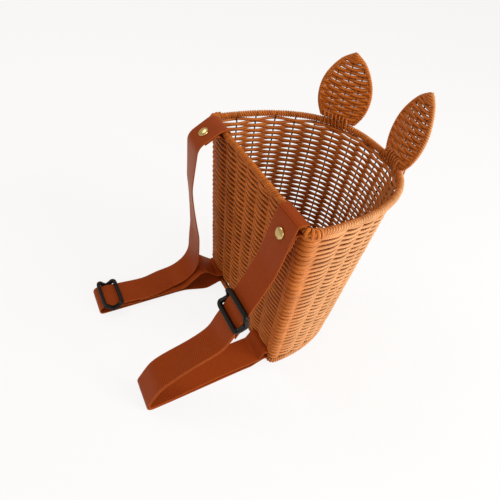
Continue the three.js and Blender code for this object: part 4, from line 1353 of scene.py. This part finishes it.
class BASKET_OT_sliders(bpy.types.Operator):
    """Moulds the three-bar slider of each strap"""

    bl_idname = "basket.sliders"
    bl_label = "Mould the sliders"
    bl_options = {"REGISTER", "UNDO"}

    def execute(self, context):
        scene = context.scene
        strap = scene.basket_straps
        bar, rail, core = strap.slider_bar, strap.slider_rail, strap.slider_core / 2
        high_n = strap.thickness / 2 + CLEARANCE + bar / 2
        core_n = -(1.5 * strap.thickness + 2 * CLEARANCE + core)
        half = strap.slider_length / 2 - bar / 2
        wide = strap.width / 2 + strap.layer_gap + rail / 2
        angle = even(SLIDER_ANGLES)
        x = wide * signed_power(np.cos(angle), SLIDER_SQUARENESS)
        along = half * signed_power(np.sin(angle), SLIDER_SQUARENESS)
        k = smooth(np.clip(1 - (np.abs(along) - core) / (half - bar / 2 - core), 0, 1))
        out = high_n + (core_n + CORE_RISE * bar - high_n) * k
        frame_line = np.stack([x, out, along], -1)
        core_line = np.linspace([-wide, core_n, 0], [wide, core_n, 0], CORE_POINTS)
        section = oval(rail / 2, bar / 2, BAR_SIDES, BAR_SQUARENESS)
        for side in SIDES:
            made = Strap(scene, side)
            seat = (made.seat, made.seat_x, made.line)
            normal = np.subtract(*seated(np.array([[0, 1.0, 0], [0, 0, 0]]), *seat))
            route = Track(seated(frame_line, *seat), normal, closed=True)
            line = route.at(even(SLIDER_POINTS, route.length))[0]
            skin = Skin().add(*carried(line, section, normal, closed=True), closed=True)
            skin.add(*carried(seated(core_line, *seat), disc(2 * core, CORE_SIDES), normal))
            skin.piece(
                f"{side}_slider_frame", f"{side}_slider", "slider_plastic", f"{side}_slider"
            )
        return {"FINISHED"}


class BASKET_OT_rivets(bpy.types.Operator):
    """Presses the domed rivets and their caps through the straps"""

    bl_idname = "basket.rivets"
    bl_label = "Press the rivets"
    bl_options = {"REGISTER", "UNDO"}

    def execute(self, context):
        scene = context.scene
        strap = scene.basket_straps
        angle = even(RIVET_SIDES)
        head, cap = strap.rivet_head / 2, strap.rivet_cap / 2
        low = strap.thickness / 2 + RIVET_SET
        back = -(strap.thickness + strap.layer_gap + low)
        sweep = np.linspace(0, math.pi / 2, RIVET_STEPS)
        rise = RIVET_RIM + (strap.rivet_dome - RIVET_RIM) * np.sin(sweep)
        dome = np.stack([head * np.cos(sweep) ** RIVET_CURVE, low + rise], 1)
        stem = [
            [0, back - MM], [RIVET_POST, back - MM], [RIVET_POST, low],
            [head * RIVET_UNDERSIDE, low], [head, low + RIVET_RIM / 2],
        ]
        shapes = {
            "rivet": np.concatenate([stem, dome[:-1], [[0, low + strap.rivet_dome]]]),
            "rivet_back": np.array(CAP_OUTLINE) * [cap, MM] + [0, back],
        }
        for side in SIDES:
            made = Strap(scene, side)
            for name, outline in shapes.items():
                radius, out = np.maximum(outline, [1e-6, -1]).T[..., None]
                ring = np.stack(
                    [radius * np.cos(angle), out + 0 * angle, radius * np.sin(angle)], -1
                )
                rings = seated(ring, made.rivet, made.rim_x, made.fall)
                Skin().add(rings, np.pad(ring, ((0, 0), (0, 0), (0, 1)))).piece(
                    f"{side}_brass_{name}", "basket", "rivet_brass", f"{side}_{name}"
                )
        return {"FINISHED"}


# Stage

CAMERA_PLACE = (0.30751, -0.24371, 0.42205)
CAMERA_RIGHT = (0.4378, 0.8922, 0.1112)
CAMERA_UP = (-0.6411, 0.2231, 0.7343)
CAMERA_LENS = 33.84
FLOOR_REACH = 30.0
SKY_STRENGTH = 0.53
SKY_TINT = "#FFE4CA"
# Name, place, size and power of each lamp
LAMPS = (
    ("key", (0.95, 0.75, 0.7), 0.7, 12.5),
    ("side", (1.1, -0.15, 0.6), 0.6, 3.0),
    ("top", (-0.6, -0.4, 1.15), 0.5, 3.0),
)
LAMP_AIM = (0, 0, 0.1)


def turned(right, up, away, where):
    turn = Matrix(np.column_stack([right, up, away]).tolist()).to_4x4()
    turn.translation = where
    return turn


class BASKET_OT_stage(bpy.types.Operator):
    """Sets the camera, the floor and the soft lights"""

    bl_idname = "basket.stage"
    bl_label = "Set the stage"
    bl_options = {"REGISTER", "UNDO"}

    def execute(self, context):
        scene = context.scene
        lens = bpy.data.cameras.new("view")
        lens.sensor_width, lens.lens = 36, CAMERA_LENS
        lens.clip_start, lens.clip_end = 0.01, 200
        right, away = unit(np.array(CAMERA_RIGHT)), unit(np.cross(CAMERA_RIGHT, CAMERA_UP))
        scene.camera = linked("view", lens)
        scene.camera.matrix_world = turned(right, np.cross(away, right), away, CAMERA_PLACE)

        mesh = bpy.data.meshes.new("floor")
        signs = ((-1, -1), (1, -1), (1, 1), (-1, 1))
        corners = [(FLOOR_REACH * x, FLOOR_REACH * y, 0) for x, y in signs]
        mesh.from_pydata(corners, [], [(0, 1, 2, 3)])
        mesh.materials.append(material(pale_painted_floor))
        ground = linked("floor", mesh)

        world = scene.world or bpy.data.worlds.new("studio")
        scene.world = world
        world.use_nodes = True
        tree = world.node_tree
        tree.nodes.clear()
        light = node(tree, "ShaderNodeLightPath").outputs
        direct = computed(
            tree, "MAXIMUM", light["Is Camera Ray"], light["Is Transmission Ray"]
        )
        strength = ranged(tree, direct, 0, 1, SKY_STRENGTH, 1.0)
        tint = mixed(tree, direct, linear(SKY_TINT), (1, 1, 1, 1))
        sky = node(tree, "ShaderNodeBackground", {"Color": tint, "Strength": strength})
        node(tree, "ShaderNodeOutputWorld", {"Surface": sky.outputs[0]})

        for name, where, size, power in LAMPS:
            lamp = bpy.data.lights.new(name, "AREA")
            lamp.size, lamp.energy = size, power
            away = unit(np.subtract(where, LAMP_AIM))
            side = unit(np.cross(UP, away))
            linked(name, lamp).matrix_world = turned(side, np.cross(away, side), away, where)
        scene.view_settings.view_transform = "Standard"
        return {"FINISHED"}


class BASKET_PT_panel(bpy.types.Panel):
    """Lists the building steps, the sizes and the finishes"""

    bl_idname = "BASKET_PT_panel"
    bl_label = "Woven pack basket"
    bl_space_type = "VIEW_3D"
    bl_region_type = "UI"
    bl_category = "Basket"

    def draw(self, context):
        for step in STEPS:
            self.layout.operator(step.bl_idname)
        for name, kind in GROUPS.items():
            box = self.layout.box()
            for field in kind.__annotations__:
                box.prop(getattr(context.scene, name), field)


STEPS = (
    BASKET_OT_stage, BASKET_OT_stakes, BASKET_OT_weave, BASKET_OT_rolls, BASKET_OT_lashings,
    BASKET_OT_mat, BASKET_OT_ears, BASKET_OT_straps, BASKET_OT_sliders, BASKET_OT_rivets,
)
GROUPS = {
    "basket_sizes": BasketSizes, "basket_straps": StrapSizes, "basket_finishes": Finishes,
}


def register():
    for made in (*GROUPS.values(), *STEPS, BASKET_PT_panel):
        bpy.utils.register_class(made)
    for name, group in GROUPS.items():
        setattr(bpy.types.Scene, name, bpy.props.PointerProperty(type=group))


def unregister():
    for name in GROUPS:
        delattr(bpy.types.Scene, name)
    for made in (BASKET_PT_panel, *STEPS[::-1], *list(GROUPS.values())[::-1]):
        bpy.utils.unregister_class(made)


def main():
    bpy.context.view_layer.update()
    register()
    for step in STEPS:
        group, name = step.bl_idname.split(".")
        if getattr(getattr(bpy.ops, group), name)() != {"FINISHED"}:
            raise RuntimeError(f"{step.bl_label} did not finish")
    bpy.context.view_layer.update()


if __name__ == "__main__":
    main()
